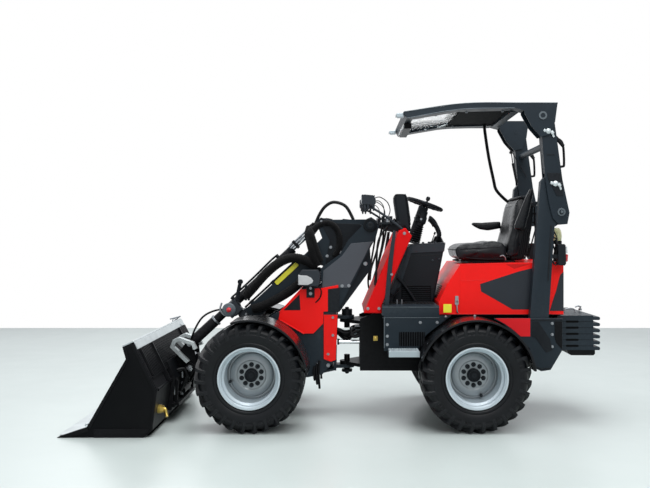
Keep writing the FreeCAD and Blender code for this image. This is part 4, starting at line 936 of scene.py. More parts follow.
def make_front_lamp_detail():
    """Lamp glasses, housings and their cables on the tower's front corners."""
    y_in, y_out = 0.206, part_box("front_lamps")[1].y
    for name, sign in SIDES:
        house = Shape()
        shell = [(0.197, 1.08), (0.216, 1.106), (0.33, 1.106), (0.349, 1.08), (0.352, 1.01),
            (0.338, 0.992), (0.3, 0.99), (0.215, 0.99), (0.201, 1.004)]
        house.side_prism(sign, shell, y_out - 0.002, y_out + 0.004)
        for index in range(5):
            z = 1.012 + 0.018 * index
            house.side_box(sign, (0.192, y_in + 0.01, z), (0.199, y_out - 0.01, z + 0.008))
        house.build("lamp_housing_rim_" + name, "front_frame", [plastic_grey], "lamp_body",
            bevel=0.002)
        glass = Shape()
        outline = [(0.352, 1.0), (0.352, 1.07), (0.292, 1.066), (0.262, 1.05), (0.246, 1.03),
            (0.256, 1.01), (0.29, 0.998)]
        glass.side_prism(sign, outline, y_out + 0.003, y_out + 0.01)
        glass.side_box(sign, (0.349, y_in + 0.006, 0.998), (0.357, y_out + 0.006, 1.072))
        glass.build("lamp_glass_" + name, "front_frame", [lens], "clear_plastic", bevel=0.002)
        cable = Shape()
        cable.tube([(0.215, sign * 0.24, 0.992), (0.19, sign * 0.235, 0.95),
            (0.2, sign * 0.215, 0.9), (0.235, sign * 0.2, 0.86)], 0.005, 8)
        cable.build("lamp_cable_" + name, "front_frame", [hose_rubber], "black_plastic")
        nuts = Shape()
        nuts.bolt((0.27, sign * 0.214, 0.93), Y_AXIS * sign, 0.01)
        nuts.bolt((0.27, sign * 0.214, 0.97), Y_AXIS * sign, 0.008)
        nuts.build("lamp_bolts_" + name, "front_frame", [zinc], "black_steel")


def make_articulation():
    """Pin caps, the steering cylinder's ends and the hoses that cross the middle joint."""
    caps = Shape()
    for z in (0.797, 0.775):
        caps.rod((0, 0, z - 0.022), (0, 0, z), 0.04, 24)
    caps.rod((0, 0, 0.318), (0, 0, 0.338), 0.04, 24)
    caps.bolt((0, 0, 0.797), Z_AXIS, 0.016)
    caps.bolt((0, 0, 0.318), -Z_AXIS, 0.016)
    caps.rod((-0.4, 0.108, 0.5), (-0.4, 0.108, 0.62), 0.014, 16)
    caps.build("middle_joint_pin_caps", "rear_frame", [slate_dark], "black_steel", bevel=0.0015)
    block = Shape()
    block.box((-0.14, -0.06, 0.585), (-0.06, 0.06, 0.665))
    for y in (-0.040, -0.013, 0.013, 0.040):
        block.rod((-0.06, y, 0.64), (-0.03, y, 0.64), 0.011, 6)
        block.rod((-0.06, y, 0.608), (-0.034, y, 0.608), 0.01, 6)
    block.build("hose_bulkhead_rear", "rear_frame", [alloy_and_glint], "black_steel", bevel=0.0015)
    for index, (y, z) in enumerate(((0.040, 0.640), (0.013, 0.640), (-0.013, 0.640),
                                    (-0.040, 0.640), (-0.057, 0.606), (-0.030, 0.608))):
        hose = Shape()
        drop = 0.01 * (index % 3)
        hose.tube([(-0.11, y, z), (-0.06, y, z + 0.002), (-0.022, y * 1.15, z - 0.018 - drop),
            (0.022, y * 1.2, z - 0.022 - drop), (0.07, y * 1.1, z - 0.002), (0.13, y, z + 0.004)],
            0.0125, 10, steps=5)
        piece = hose.build(f"middle_joint_hose_{index}", None, [hose_rubber])
        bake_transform(piece)
    tangle = Shape()
    for y, z, bow in ((0.135, 0.650, 0.030), (0.150, 0.625, 0.018), (-0.135, 0.645, 0.025)):
        tangle.tube([(-0.115, y, z), (-0.085, y + 0.004, z - bow), (-0.05, y, z - bow * 1.3),
            (-0.03, y * 0.9, z - bow * 0.4), (-0.06, y * 0.8, z + 0.01),
            (-0.11, y * 0.8, z + 0.012)], 0.01, 10)
    tangle.build("rear_bulkhead_hose_loops", "rear_frame", [hose_rubber], "black_plastic")


AXLE_HEIGHT = 0.38
AXLES = (("front", 0.671), ("rear", -0.889))
LIP_RADIUS = 0.404  # round the axle, in the side view


def make_front_frame_detail():
    for place, centre_x in AXLES:
        start, end = (72, 176) if place == "front" else (18, 172)
        for sign in (1, -1):
            piece = Shape()
            outer = round_points(centre_x, AXLE_HEIGHT, LIP_RADIUS + 0.001, start, end, 40)
            inner = round_points(centre_x, AXLE_HEIGHT, LIP_RADIUS - 0.013, end, start, 40)
            y_low, y_high = sorted((sign * 0.6885, sign * 0.6955))
            ring_strip(piece, outer, list(reversed(inner)), y_low, y_high)
            side = "left" if sign > 0 else "right"
            piece.build(f"fender_lip_{place}_{side}", place + "_frame", [rubber], "black_steel",
                bevel=0.0015)
    shape = Shape()
    shape.both_prisms([(0.3, 0.345), (0.46, 0.345), (0.43, 0.43), (0.3, 0.43)], 0.1895, 0.193)
    shape.build("front_plate_patches", "front_frame", [slate_dark], "anthracite_steel",
        bevel=0.001)
    for place, x in AXLES:
        make_axle_detail(place + "_frame", x)


def ring_strip(shape, outer, inner, y_low, y_high):
    """A curved strip between two lines of the same number of (x, z) points."""
    count = len(outer)
    verts = []
    for y in (y_low, y_high):
        verts += [at(x, y, z) for x, z in outer]
        verts += [at(x, y, z) for x, z in inner]
    faces = []
    for i in range(count - 1):
        a, b = i, i + 1
        c, d = count + i + 1, count + i
        faces.append((a, b, c, d))
        faces.append((2 * count + a, 2 * count + d, 2 * count + c, 2 * count + b))
        faces.append((a, 2 * count + a, 2 * count + b, b))
        faces.append((d, c, 2 * count + c, 2 * count + d))
    for i in (0, count - 1):
        faces.append((i, count + i, 3 * count + i, 2 * count + i))
    shape.add(verts, faces)


def make_axle_detail(body, x):
    """Flanges and bolts round an axle's ends and middle, and its drive shaft."""
    z = AXLE_HEIGHT
    shape = Shape()
    for sign in (1, -1):
        shape.lathe([(0.088, 0.0), (0.096, 0.004), (0.096, 0.02), (0.088, 0.024)],
            (x, sign * 0.335, z), Y_AXIS * sign, 32)
        for index in range(8):
            angle = 2 * math.pi * index / 8
            shape.bolt((x + 0.075 * math.cos(angle), sign * 0.314, z + 0.075 * math.sin(angle)),
                -Y_AXIS * sign, 0.008)
    shape.lathe([(0.105, -0.012), (0.105, 0.0), (0.1, 0.006)], (x, 0.078, z), Y_AXIS, 32)
    shape.lathe([(0.105, -0.012), (0.105, 0.0), (0.1, 0.006)], (x, -0.078, z), -Y_AXIS, 32)
    for index in range(10):
        angle = 2 * math.pi * index / 10
        for sign in (1, -1):
            shape.bolt((x + 0.088 * math.cos(angle), sign * 0.09, z + 0.088 * math.sin(angle)),
                Y_AXIS * sign, 0.007)
    toward = 1 if body == "rear_frame" else -1
    shape.rod((x + toward * 0.095, 0, z), (x + toward * 0.15, 0, 0.39), 0.045, 24)
    shape.rod((x + toward * 0.15, 0, 0.39), (x + toward * 0.3, 0, 0.42), 0.026, 20)
    shape.build("axle_detail_" + body, body, [slate_dark], "black_steel", bevel=0.0015)


# ---------------------------------------------------------------- operator station
vent_black = new_material("vent_black", (0.0012, 0.0015, 0.002), 0.85, tone=0.3, grain=0.3,
    spec=0.1)
wedge_red = new_material("wedge_red", (0.66, 0.012, 0.018), 0.36, coat=0.04, tone=0.05, grain=0.01,
    spec=0.14)
deep_red = new_material("deep_red_film", (0.5, 0.008, 0.007), 0.36, coat=0.04, tone=0.06,
    grain=0.01, spec=0.14)
dark_screen = new_material("dark_screen", (0.006, 0.008, 0.01), 0.12, coat=0.4, tone=0.1,
    grain=0.0)


def make_deck_detail():
    mat_top = Shape()
    mat_top.box((-0.64, -0.3, 0.8588), (-0.262, 0.3, 0.864))
    for row in range(13):
        for column in range(21):
            x = -0.625 + 0.027 * row
            y = -0.285 + 0.0285 * column
            mat_top.lathe([(0.0075, 0.0), (0.0065, 0.0022), (0.0, 0.0026)], (x, y, 0.8638), Z_AXIS,
                8)
    mat_top.build("floor_mat", "rear_frame", [rubber], "black_plastic")
    for side, sign in SIDES:
        tread = Shape()
        tread.side_box(sign, (-0.501, 0.458, 0.5535), (-0.291, 0.603, 0.5585))
        tread.side_box(sign, (-0.503, 0.599, 0.518), (-0.289, 0.606, 0.5585))
        for row in range(12):
            for column in range(7):
                x = -0.492 + 0.0172 * row
                y = sign * (0.47 + 0.0205 * column)
                tread.lathe([(0.0065, 0.0), (0.0045, 0.0032), (0.0032, 0.0032)], (x, y, 0.5583),
                    Z_AXIS, 8)
        tread.build("step_plate_" + side, "rear_frame", [alloy_and_glint], "lamp_body", bevel=0.001)
        frame_lines = Shape()
        face = 0.455
        for z in (0.8505, 0.776):
            frame_lines.side_box(sign, (-0.655, face, z - 0.0016), (-0.25, 0.4585, z + 0.0016))
        frame_lines.side_box(sign, (-0.268, face, 0.56), (-0.262, 0.4585, 0.78))
        frame_lines.build("deck_edge_lines_" + side, "rear_frame", [steel_grey],
            "anthracite_steel", bevel=0.0006)
        window = Shape()
        window.side_box(sign, (-0.553, face, 0.575), (-0.369, 0.4568, 0.674))
        window.build("deck_vent_" + side, "rear_frame", [vent_black], "black_plastic")
        bars = Shape()
        for index in range(11):
            x = -0.545 + 0.0168 * index
            bars.rod((x, sign * 0.4575, 0.575), (x, sign * 0.4575, 0.674), 0.0022, 8)
        bars.build("deck_vent_bars_" + side, "rear_frame", [slate_dark], "black_plastic")
        bits = Shape()
        for x, z in ((-0.286, 0.727), (-0.286, 0.645), (-0.286, 0.585), (-0.520, 0.742),
                     (-0.640, 0.742)):
            bits.bolt((x, sign * 0.455, z), Y_AXIS * sign, 0.0085)
        for x in (-0.365, -0.400):
            bits.rod((x, sign * 0.3, 0.859), (x, sign * 0.3, 0.893), 0.0045, 10)
        bits.build("deck_bolts_" + side, "rear_frame", [zinc], "black_steel")
        plate_piece = Shape()
        plate_piece.side_box(sign, (-0.742, face, 0.812), (-0.684, 0.458, 0.872))
        plate_piece.build("deck_yellow_plate_" + side, "rear_frame", [yellow], "black_steel",
            bevel=0.0012)
    pedals = Shape()
    for y in (-0.205, 0.205):
        pedals.prism([(-0.33, 0.905), (-0.392, 0.96), (-0.396, 0.953), (-0.334, 0.898)], y - 0.035,
            y + 0.035)
        pedals.rod((-0.33, y, 0.93), (-0.285, y, 0.862), 0.008, 10)
        for index in range(4):
            a = 0.2 + 0.2 * index
            pedals.rod((-0.332 - 0.062 * a, y - 0.03, 0.908 + 0.055 * a),
                (-0.332 - 0.062 * a, y + 0.03, 0.908 + 0.055 * a), 0.003, 6)
    pedals.build("pedals", "rear_frame", [black_paint], "black_steel", bevel=0.0015)


def make_console_detail():
    shape = Shape()
    shape.both_prisms([(-0.474, 1.287), (-0.736, 1.3015), (-0.727, 1.24), (-0.458, 1.228)], 0.1545,
        0.1585)
    shape.prism([(-0.478, 1.2885), (-0.737, 1.3025), (-0.737, 1.3075), (-0.478, 1.294)], -0.158,
        0.158)
    shape.build("console_cap", "rear_frame", [plastic_grey], "black_plastic", bevel=0.003)
    lower = Shape()
    lower.both_prisms([(-0.44, 1.215), (-0.712, 1.224), (-0.69, 1.12), (-0.655, 0.96),
        (-0.42, 0.985), (-0.43, 1.1)], 0.1545, 0.1575)
    for sign in (1, -1):
        lower.side_box(sign, (-0.628, 0.1545, 0.866), (-0.408, 0.159, 0.984), 1)
        for index in range(8):
            z = 0.966 - 0.0145 * index
            lower.side_box(sign, (-0.624, 0.1545, z), (-0.412, 0.165, z + 0.0075))
    lower.build("console_side_panels", "rear_frame", [plastic, vent_black], "black_plastic",
        bevel=0.0015)
    strip = Shape()
    for sign in (1, -1):
        strip.side_prism(sign, [(-0.372, 0.96), (-0.458, 1.27), (-0.474, 1.2865), (-0.498, 1.2865),
            (-0.4, 0.985)], 0.158, 0.161)
    strip.prism([(-0.312, 0.861), (-0.322, 0.93), (-0.392, 1.12), (-0.44, 1.262), (-0.47, 1.285),
        (-0.5, 1.285), (-0.43, 1.0), (-0.4, 0.861)], -0.148, 0.152)
    strip.build("console_corner_strip", "rear_frame", [slate], "anthracite_steel", bevel=0.002)
    knobs = Shape()
    for x, z in ((-0.690, 1.185), (-0.640, 1.175), (-0.455, 1.262), (-0.400, 1.010)):
        knobs.lathe([(0.008, 0), (0.008, 0.004), (0.005, 0.006)], (x, 0.1575, z), Y_AXIS, 16)
    for index in range(4):
        spot = at(-0.53 - 0.045 * index, 0.09, 1.2975 + 0.0025 * index)
        knobs.lathe([(0.01, 0.0), (0.01, 0.008), (0.006, 0.012)], spot, Z_AXIS, 16)
    knobs.build("console_switches", "rear_frame", [plastic_grey], "lamp_body", bevel=0.0008)
    zipper = Shape()
    for sign in (1, -1):
        zipper.tube([(-0.42, sign * 0.156, 1.205), (-0.706, sign * 0.156, 1.214)], 0.0025, 8)
        zipper.tube([(-0.41, sign * 0.156, 0.992), (-0.65, sign * 0.156, 0.966)], 0.0025, 8)
    zipper.build("console_seams", "rear_frame", [black_paint], "black_plastic")


def make_column_detail():
    """A bellows round the steering column, with a bracket and stalks."""
    low = at(-0.505, 0, 1.3)
    high = at(-0.5885, 0, 1.56)
    axis = (high - low).normalized()
    length = (high - low).length
    boot = Shape()
    profile = [(0.058, 0.0)]
    folds = 9
    for index in range(folds):
        base = 0.01 + index * 0.0165
        width = 0.056 - 0.0016 * index
        profile += [(width, base), (width - 0.009, base + 0.008)]
    profile += [(0.04, 0.165), (0.04, 0.172)]
    boot.lathe(profile, low, axis, 32)
    boot.build("column_bellows", "rear_frame", [rubber], "black_plastic", smooth=50)
    upper = Shape()
    upper.lathe([(0.04, 0.165), (0.046, 0.172), (0.046, 0.215), (0.039, 0.228),
        (0.039, length - 0.012)], low, axis, 32)
    middle = low + axis * 0.195
    upper.box((-0.545, -0.062, 1.47), (-0.52, 0.062, 1.505))
    upper.rod(middle, middle + Vector((0.03, 0.115, 0.03)), 0.006, 10)
    upper.rod(middle + Vector((0.03, 0.115, 0.03)), middle + Vector((0.036, 0.14, 0.036)), 0.01,
        14)
    upper.rod(middle, middle + Vector((0.025, -0.11, 0.035)), 0.006, 10)
    upper.build("column_sleeve", "rear_frame", [plastic], "black_plastic", bevel=0.0015)
    collar = Shape()
    collar.rod(middle - Vector((0.0, 0.05, 0)), middle + Vector((0.0, 0.05, 0)), 0.009, 6)
    collar.build("column_clamp_bolt", "rear_frame", [zinc], "black_steel")


def make_steering_wheel():
    hub = Vector(joint_of["steering_wheel_turn"]["pos_m"])
    axle = Vector(joint_of["steering_wheel_turn"]["axis"]).normalized()
    across = axle.cross(Y_AXIS).normalized()
    grip = Shape()
    radius, thick = 0.134, 0.0138
    rings, sides = 96, 14
    verts, faces = [], []
    for i in range(rings):
        turn = 2 * math.pi * i / rings
        out = across * math.cos(turn) + Y_AXIS * math.sin(turn)
        for k in range(sides):
            angle = 2 * math.pi * k / sides
            size = thick
            if k in (9, 10, 11, 12) and i % 6 < 4:
                size -= 0.0018
            verts.append(hub + out * (radius + size * math.cos(angle)) + axle * size
                * math.sin(angle))
    for i in range(rings):
        for k in range(sides):
            j, m = (i + 1) % rings, (k + 1) % sides
            faces.append((i * sides + k, i * sides + m, j * sides + m, j * sides + k))
    grip.add(verts, faces)
    for turn in (math.pi / 2, -math.pi / 2, math.pi):
        out = across * math.cos(turn) + Y_AXIS * math.sin(turn)
        side = axle.cross(out)
        start, end = hub + out * 0.020 - axle * 0.004, hub + out * 0.128
        grip.add([start + side * 0.017 - axle * 0.006, start - side * 0.017 - axle * 0.006,
            end - side * 0.012 - axle * 0.006, end + side * 0.012 - axle * 0.006,
            start + side * 0.017 + axle * 0.006, start - side * 0.017 + axle * 0.006,
            end - side * 0.012 + axle * 0.006, end + side * 0.012 + axle * 0.006],
            [(3, 2, 1, 0), (4, 5, 6, 7), (0, 1, 5, 4), (1, 2, 6, 5), (2, 3, 7, 6), (3, 0, 4, 7)])
    grip.lathe([(0.0, -0.016), (0.026, -0.016), (0.036, -0.008), (0.036, 0.01), (0.028, 0.018),
        (0.012, 0.019), (0.0, 0.0185)], hub, axle, 36)
    knob = hub + Y_AXIS * 0.134
    grip.lathe([(0.007, 0.01), (0.007, 0.022), (0.0145, 0.026), (0.016, 0.04), (0.014, 0.05),
        (0.006, 0.0545), (0.0, 0.055)], knob, axle, 24)
    piece = grip.build("steering_wheel_moulded", "hand_wheel", [plastic], "black_plastic",
        bevel=0.002, smooth=50)
    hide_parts("steering_wheel")


def make_pod_detail():
    shape = Shape()
    face = [(-0.466, 1.44), (-0.4395, 1.64), (-0.427, 1.666), (-0.431, 1.669), (-0.4445, 1.642),
        (-0.4715, 1.438)]
    shape.prism(face, 0.132, 0.238)
    shape.build("pod_bezel", "rear_frame", [plastic_grey], "lamp_body", bevel=0.002)
    glass = Shape()
    glass.prism([(-0.469, 1.47), (-0.447, 1.63), (-0.4495, 1.631), (-0.4718, 1.469)], 0.146, 0.224)
    glass.build("pod_screen", "rear_frame", [dark_screen], "black_plastic")
    seam = Shape()
    for y in (0.1195, 0.2505):
        seam.tube([(-0.352, y, 1.606), (-0.351, y, 1.636), (-0.361, y, 1.66), (-0.422, y, 1.66),
            (-0.434, y, 1.636), (-0.46, y, 1.44), (-0.464, y, 1.4)], 0.0022, 8)
    seam.rod((-0.362, 0.185, 1.48), (-0.33, 0.185, 1.44), 0.016, 18)
    seam.build("pod_stalk_and_seam", "rear_frame", [black_paint], "black_plastic")


def make_control_detail():
    levers = Shape()
    base = at(-0.712, -0.125, 1.3025)
    profile = [(0.052, 0.0)]
    for index in range(6):
        profile += [(0.051 - 0.0045 * index, 0.004 + 0.009 * index),
            (0.043 - 0.0045 * index, 0.0085 + 0.009 * index)]
    levers.lathe(profile, base, Z_AXIS, 28)
    levers.build("joystick_boot", "rear_frame", [rubber], "black_plastic", smooth=50)
    stick = Shape()
    stick.tube([(-0.712, -0.125, 1.335), (-0.722, -0.125, 1.372), (-0.706, -0.125, 1.42),
        (-0.69, -0.125, 1.446), (-0.668, -0.125, 1.474)], 0.0195, 16, steps=8, ribs=0.0012,
        pitch=0.016)
    stick.tube([(-0.692, -0.125, 1.438), (-0.676, -0.125, 1.466), (-0.652, -0.125, 1.49),
        (-0.64, -0.125, 1.494)], 0.0235, 18, steps=8)
    for y in (-0.134, -0.118):
        stick.lathe([(0.005, 0), (0.005, 0.005), (0.003, 0.007)], (-0.655, y, 1.506), Z_AXIS, 12)
    stick.box((-0.676, -0.133, 1.44), (-0.668, -0.117, 1.46))
    for x, y in ((-0.655, -0.050), (-0.690, -0.070)):
        stick.lathe([(0.016, 0.0), (0.012, 0.006), (0.007, 0.014)], (x, y, 1.3015), Z_AXIS, 18)
        stick.rod((x, y, 1.31), (x - 0.022, y, 1.372), 0.0035, 8)
        stick.rod((x - 0.022, y, 1.37), (x - 0.028, y, 1.388), 0.008, 14, end_radius=0.007)
    stick.tube([(-0.512, 0.178, 0.862), (-0.49, 0.178, 0.9), (-0.42, 0.178, 1.0),
        (-0.384, 0.178, 1.04)], 0.01, 10)
    stick.rod((-0.398, 0.178, 1.022), (-0.376, 0.178, 1.048), 0.0125, 14)
    stick.lathe([(0.02, 0.0), (0.02, 0.01), (0.012, 0.014)], (-0.512, 0.178, 0.8595), Z_AXIS, 20)
    piece = stick.build("levers_moulded", "rear_frame", [plastic], "black_plastic", bevel=0.001,
        smooth=50)
    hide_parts("control_levers")


def make_work_light_detail():
    for side, sign in SIDES:
        y_mid = sign * 0.375
        body = Shape()
        section = [(-0.206, 1.588), (-0.205, 1.624), (-0.188, 1.647), (-0.125, 1.653),
            (-0.114, 1.646), (-0.114, 1.584), (-0.19, 1.58)]
        body.prism(section, y_mid - 0.042, y_mid + 0.042)
        for index in range(6):
            x = -0.198 + 0.013 * index
            body.box((x, y_mid - 0.0445, 1.59), (x + 0.004, y_mid + 0.0445, 1.648))
        body.box((-0.118, y_mid - 0.0445, 1.584), (-0.106, y_mid + 0.0445, 1.652))
        body.box((-0.165, y_mid - 0.014, 1.556), (-0.135, y_mid + 0.014, 1.584))
        body.box((-0.132, y_mid - 0.01, 1.56), (-0.112, y_mid + 0.01, 1.583))
        for x in (-0.128, -0.150, -0.190):
            body.rod((x, y_mid + 0.03, 1.586), (x, y_mid + 0.03, 1.548), 0.009, 12)
            body.rod((x, y_mid + 0.03, 1.548), (x, y_mid + 0.03, 1.536), 0.006, 10)
        body.tube([(-0.152, y_mid, 1.572), (-0.205, y_mid, 1.545), (-0.29, y_mid, 1.49),
            (-0.392, y_mid, 1.412), (-0.4, y_mid, 1.396)], 0.0085, 12)
        piece = body.build("work_light_housing_" + side, "rear_frame", [plastic_grey], "lamp_body",
            bevel=0.003)
        if sign > 0:
            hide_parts("work_lights")
        glass = Shape()
        glass.box((-0.1065, y_mid - 0.038, 1.591), (-0.1015, y_mid + 0.038, 1.645))
        glass.build("work_light_glass_" + side, "rear_frame", [lens], "clear_plastic", bevel=0.002)
        wires = Shape()
        wires.tube([(-0.204, y_mid + 0.01, 1.632), (-0.24, y_mid + 0.01, 1.634),
            (-0.29, y_mid, 1.6), (-0.31, y_mid, 1.545), (-0.3, y_mid, 1.5)], 0.0035, 8)
        wires.tube([(-0.204, y_mid - 0.01, 1.61), (-0.235, y_mid - 0.01, 1.606),
            (-0.262, y_mid, 1.57), (-0.268, y_mid, 1.512)], 0.003, 8)
        wires.build("work_light_wires_" + side, "rear_frame", [hose_rubber], "black_plastic")


def make_shield_detail():
    """The bar, hoses and fittings in front of the red shield."""
    bar = Shape()
    bar.both_prisms([(-0.33, 1.392), (-0.352, 1.392), (-0.33, 1.18), (-0.296, 0.805),
        (-0.262, 0.805), (-0.296, 1.18)], 0.3905, 0.399)
    bar.build("shield_side_bars", "rear_frame", [slate], "anthracite_steel", bevel=0.002)
    hoses = Shape()
    for run in (
            ((-0.262, 0.33, 1.47), (-0.246, 0.33, 1.38), (-0.214, 0.326, 1.24),
                (-0.176, 0.322, 1.12), (-0.166, 0.32, 1.035)),
            ((-0.292, 0.345, 1.46), (-0.276, 0.345, 1.36), (-0.244, 0.34, 1.22),
                (-0.212, 0.335, 1.1), (-0.203, 0.33, 1.0)),
            ((-0.316, 0.335, 1.45), (-0.27, 0.36, 1.4), (-0.226, 0.372, 1.32),
                (-0.214, 0.375, 1.2), (-0.21, 0.375, 1.05), (-0.206, 0.375, 0.975),
                (-0.216, 0.375, 0.942), (-0.25, 0.37, 0.932)),
            ((-0.24, -0.335, 1.46), (-0.226, -0.335, 1.33), (-0.196, -0.33, 1.15),
                (-0.172, -0.325, 1.02), (-0.18, -0.32, 0.93), (-0.222, -0.316, 0.918)),
            ((-0.3, -0.322, 1.45), (-0.286, -0.322, 1.3), (-0.246, -0.32, 1.12),
                (-0.214, -0.318, 1.01), (-0.216, -0.32, 0.96), (-0.248, -0.322, 0.948))):
        hoses.tube(run, 0.0075, 10)
    hoses.build("shield_hoses", "rear_frame", [hose_rubber], "black_plastic")
    fittings = Shape()
    for x, y, z in ((-0.262, 0.330, 1.500), (-0.292, 0.345, 1.490), (-0.316, 0.318, 1.480),
                    (-0.240, -0.335, 1.490), (-0.300, -0.322, 1.480)):
        fittings.rod((x, y, z - 0.04), (x - 0.002, y, z - 0.012), 0.011, 6)
        fittings.rod((x - 0.002, y, z - 0.012), (x - 0.006, y, z + 0.012), 0.008, 12)
    fittings.build("shield_hose_fittings", "rear_frame", [zinc], "black_steel")
    block = Shape()
    for sign in (1, -1):
        block.side_box(sign, (-0.385, 0.3, 1.44), (-0.235, 0.362, 1.456))
        block.side_prism(sign, [(-0.25, 1.44), (-0.25, 1.42), (-0.372, 1.385), (-0.385, 1.44)],
            0.31, 0.322)
        for x in (-0.262, -0.292, -0.318):
            block.rod((x, sign * 0.332, 1.456), (x, sign * 0.332, 1.5), 0.012, 14)
    block.build("hose_bracket", "rear_frame", [slate_dark], "black_steel", bevel=0.0015)
    bolts = Shape()
    for sign in (1, -1):
        for x, z in ((-0.412, 1.375), (-0.318, 1.080), (-0.230, 0.835), (-0.150, 0.835)):
            bolts.bolt((x, sign * 0.39, z), Y_AXIS * sign, 0.009)
    bolts.build("shield_bolts", "rear_frame", [zinc], "black_steel")
    brass_plug = Shape()
    for sign in (1, -1):
        brass_plug.side_box(sign, (-0.222, 0.319, 0.596), (-0.192, 0.326, 0.63))
        brass_plug.lathe([(0.013, 0.0), (0.013, 0.016), (0.009, 0.019)],
            (-0.208, sign * 0.324, 0.613), Y_AXIS * sign, 6)
    brass_plug.build("bulkhead_brass_plugs", "rear_frame", [brass], "black_steel")


# ---------------------------------------------------------------- hood
def make_hood_detail():
    film = Shape()
    front_film = [(-0.955, 1.011), (-1.234, 1.102), (-1.321, 1.123), (-1.43, 1.141),
        (-1.43, 0.829), (-1.187, 0.829), (-0.962, 0.958)]
    film.both_prisms(front_film, 0.3915, 0.393)
    rear_film = [(-1.478, 0.897), (-1.5, 0.96), (-1.529, 1.076), (-1.5545, 1.1), (-1.5545, 0.818),
        (-1.455, 0.818)]
    film.both_prisms(rear_film, 0.3915, 0.393)
    film.build("hood_graphic_film", "hood", [graphic], "anthracite_steel")
    facets = Shape()
    facets.both_prisms([(-1.14, 1.1535), (-1.31, 1.1535), (-1.2, 1.12)], 0.3915, 0.3925)
    facets.build("hood_film_accent", "hood", [deep_red], "red_paint")
    lines = Shape()
    for sign in (1, -1):
        y = sign * 0.391
        lines.tube([(-0.813, y, 1.036), (-1.02, y, 1.039)], 0.0022, 8)
        lines.tube([(-0.811, y, 1.15), (-0.811, y, 0.8)], 0.0022, 8)
        lines.tube([(-0.668, y, 0.798), (-1.1, y, 0.796), (-1.55, y, 0.796)], 0.0022, 8)
        lines.tube([(-0.815, y, 1.152), (-1.0, y, 1.156), (-1.28, y, 1.162)], 0.0022, 8)
    lines.build("hood_creases", "hood", [red], "red_paint")
    gap = Shape()
    for sign in (1, -1):
        gap.side_box(sign, (-1.552, 0.388, 0.7895), (-0.67, 0.3925, 0.7935))
    gap.build("hood_lower_seal", "hood", [rubber], "black_plastic")
    latch = Shape()
    for sign in (1, -1):
        latch.side_prism(sign, [(-0.776, 0.926), (-0.798, 0.926), (-0.801, 0.87), (-0.796, 0.862),
            (-0.778, 0.862), (-0.773, 0.87)], 0.392, 0.4)
        latch.tube([(-0.787, sign * 0.402, 0.866), (-0.788, sign * 0.404, 0.84),
            (-0.79, sign * 0.402, 0.815), (-0.796, sign * 0.398, 0.806)], 0.005, 10)
        latch.tube([(-0.78, sign * 0.402, 0.88), (-0.787, sign * 0.406, 0.896),
            (-0.794, sign * 0.402, 0.88)], 0.004, 8)
    latch.build("hood_latches", "hood", [zinc], "chrome_rod", bevel=0.001)
    louvres = Shape()
    rear_face = -1.5545
    for index in range(9):
        z = 0.85 + 0.026 * index
        louvres.box((rear_face - 0.003, -0.25, z), (rear_face + 0.001, 0.25, z + 0.012))
    louvres.build("hood_rear_louvres", "hood", [black_paint], "black_plastic", bevel=0.001)
    grille = Shape()
    for index in range(7):
        share = 0.12 + 0.11 * index
        x = -0.66 - 0.06 * share
        z = 0.885 + 0.12 * share
        grille.box((x - 0.004, -0.2, z), (x + 0.004, 0.2, z + 0.006))
    grille.build("hood_front_louvres", "hood", [black_paint], "black_plastic", bevel=0.001)


def make_rear_wedge():
    wedge = Shape()
    outline = [(-1.045, 0.774), (-1.294, 0.774), (-1.294, 0.646), (-1.226, 0.646), (-1.18, 0.688),
        (-1.117, 0.734)]
    wedge.both_prisms(outline, 0.4805, 0.483)
    wedge.build("fender_red_wedges", "rear_frame", [wedge_red], "red_paint", bevel=0.0008)
    frame_bits = Shape()
    y_in, y_out = 0.4805, 0.485
    for sign in (1, -1):
        frame_bits.side_prism(sign, [(-1.304, 0.75), (-1.352, 0.75), (-1.432, 0.63),
            (-1.452, 0.552), (-1.406, 0.532), (-1.33, 0.64), (-1.304, 0.645)], y_in, y_out)
        frame_bits.side_prism(sign, [(-1.466, 0.752), (-1.519, 0.752), (-1.519, 0.556),
            (-1.478, 0.6), (-1.466, 0.64)], y_in, y_out, 1)
        frame_bits.side_box(sign, (-1.52, y_in, 0.756), (-1.298, y_out, 0.766))
        frame_bits.side_prism(sign, [(-1.31, 0.438), (-1.374, 0.409), (-1.434, 0.418),
            (-1.434, 0.428), (-1.374, 0.419), (-1.312, 0.447)], y_in, y_out)
    frame_bits.build("rear_skirt_ribs", "rear_frame", [slate_dark, black_paint],
        "anthracite_steel", bevel=0.001)
    bolts = Shape()
    for sign in (1, -1):
        for z in (0.738, 0.660, 0.574):
            bolts.bolt((-1.449, sign * 0.481, z), Y_AXIS * sign, 0.0085)
        for x, z in ((-0.700, 0.781), (-0.905, 0.7855)):
            bolts.bolt((x, sign * 0.462, z), Z_AXIS, 0.009)
    bolts.build("rear_skirt_bolts", "rear_frame", [zinc], "black_steel")


# ---------------------------------------------------------------- roll-over frame and roof
def arm_back(z):
    """The x of the folding arm's rear edge at a height."""
    line = ((1.52, -1.572), (1.752, -1.522), (2.07, -1.479), (2.19, -1.462))
    for (z0, x0), (z1, x1) in zip(line, line[1:]):
        if z <= z1:
            return x0 + (x1 - x0) * (z - z0) / (z1 - z0)
    return line[-1][1]


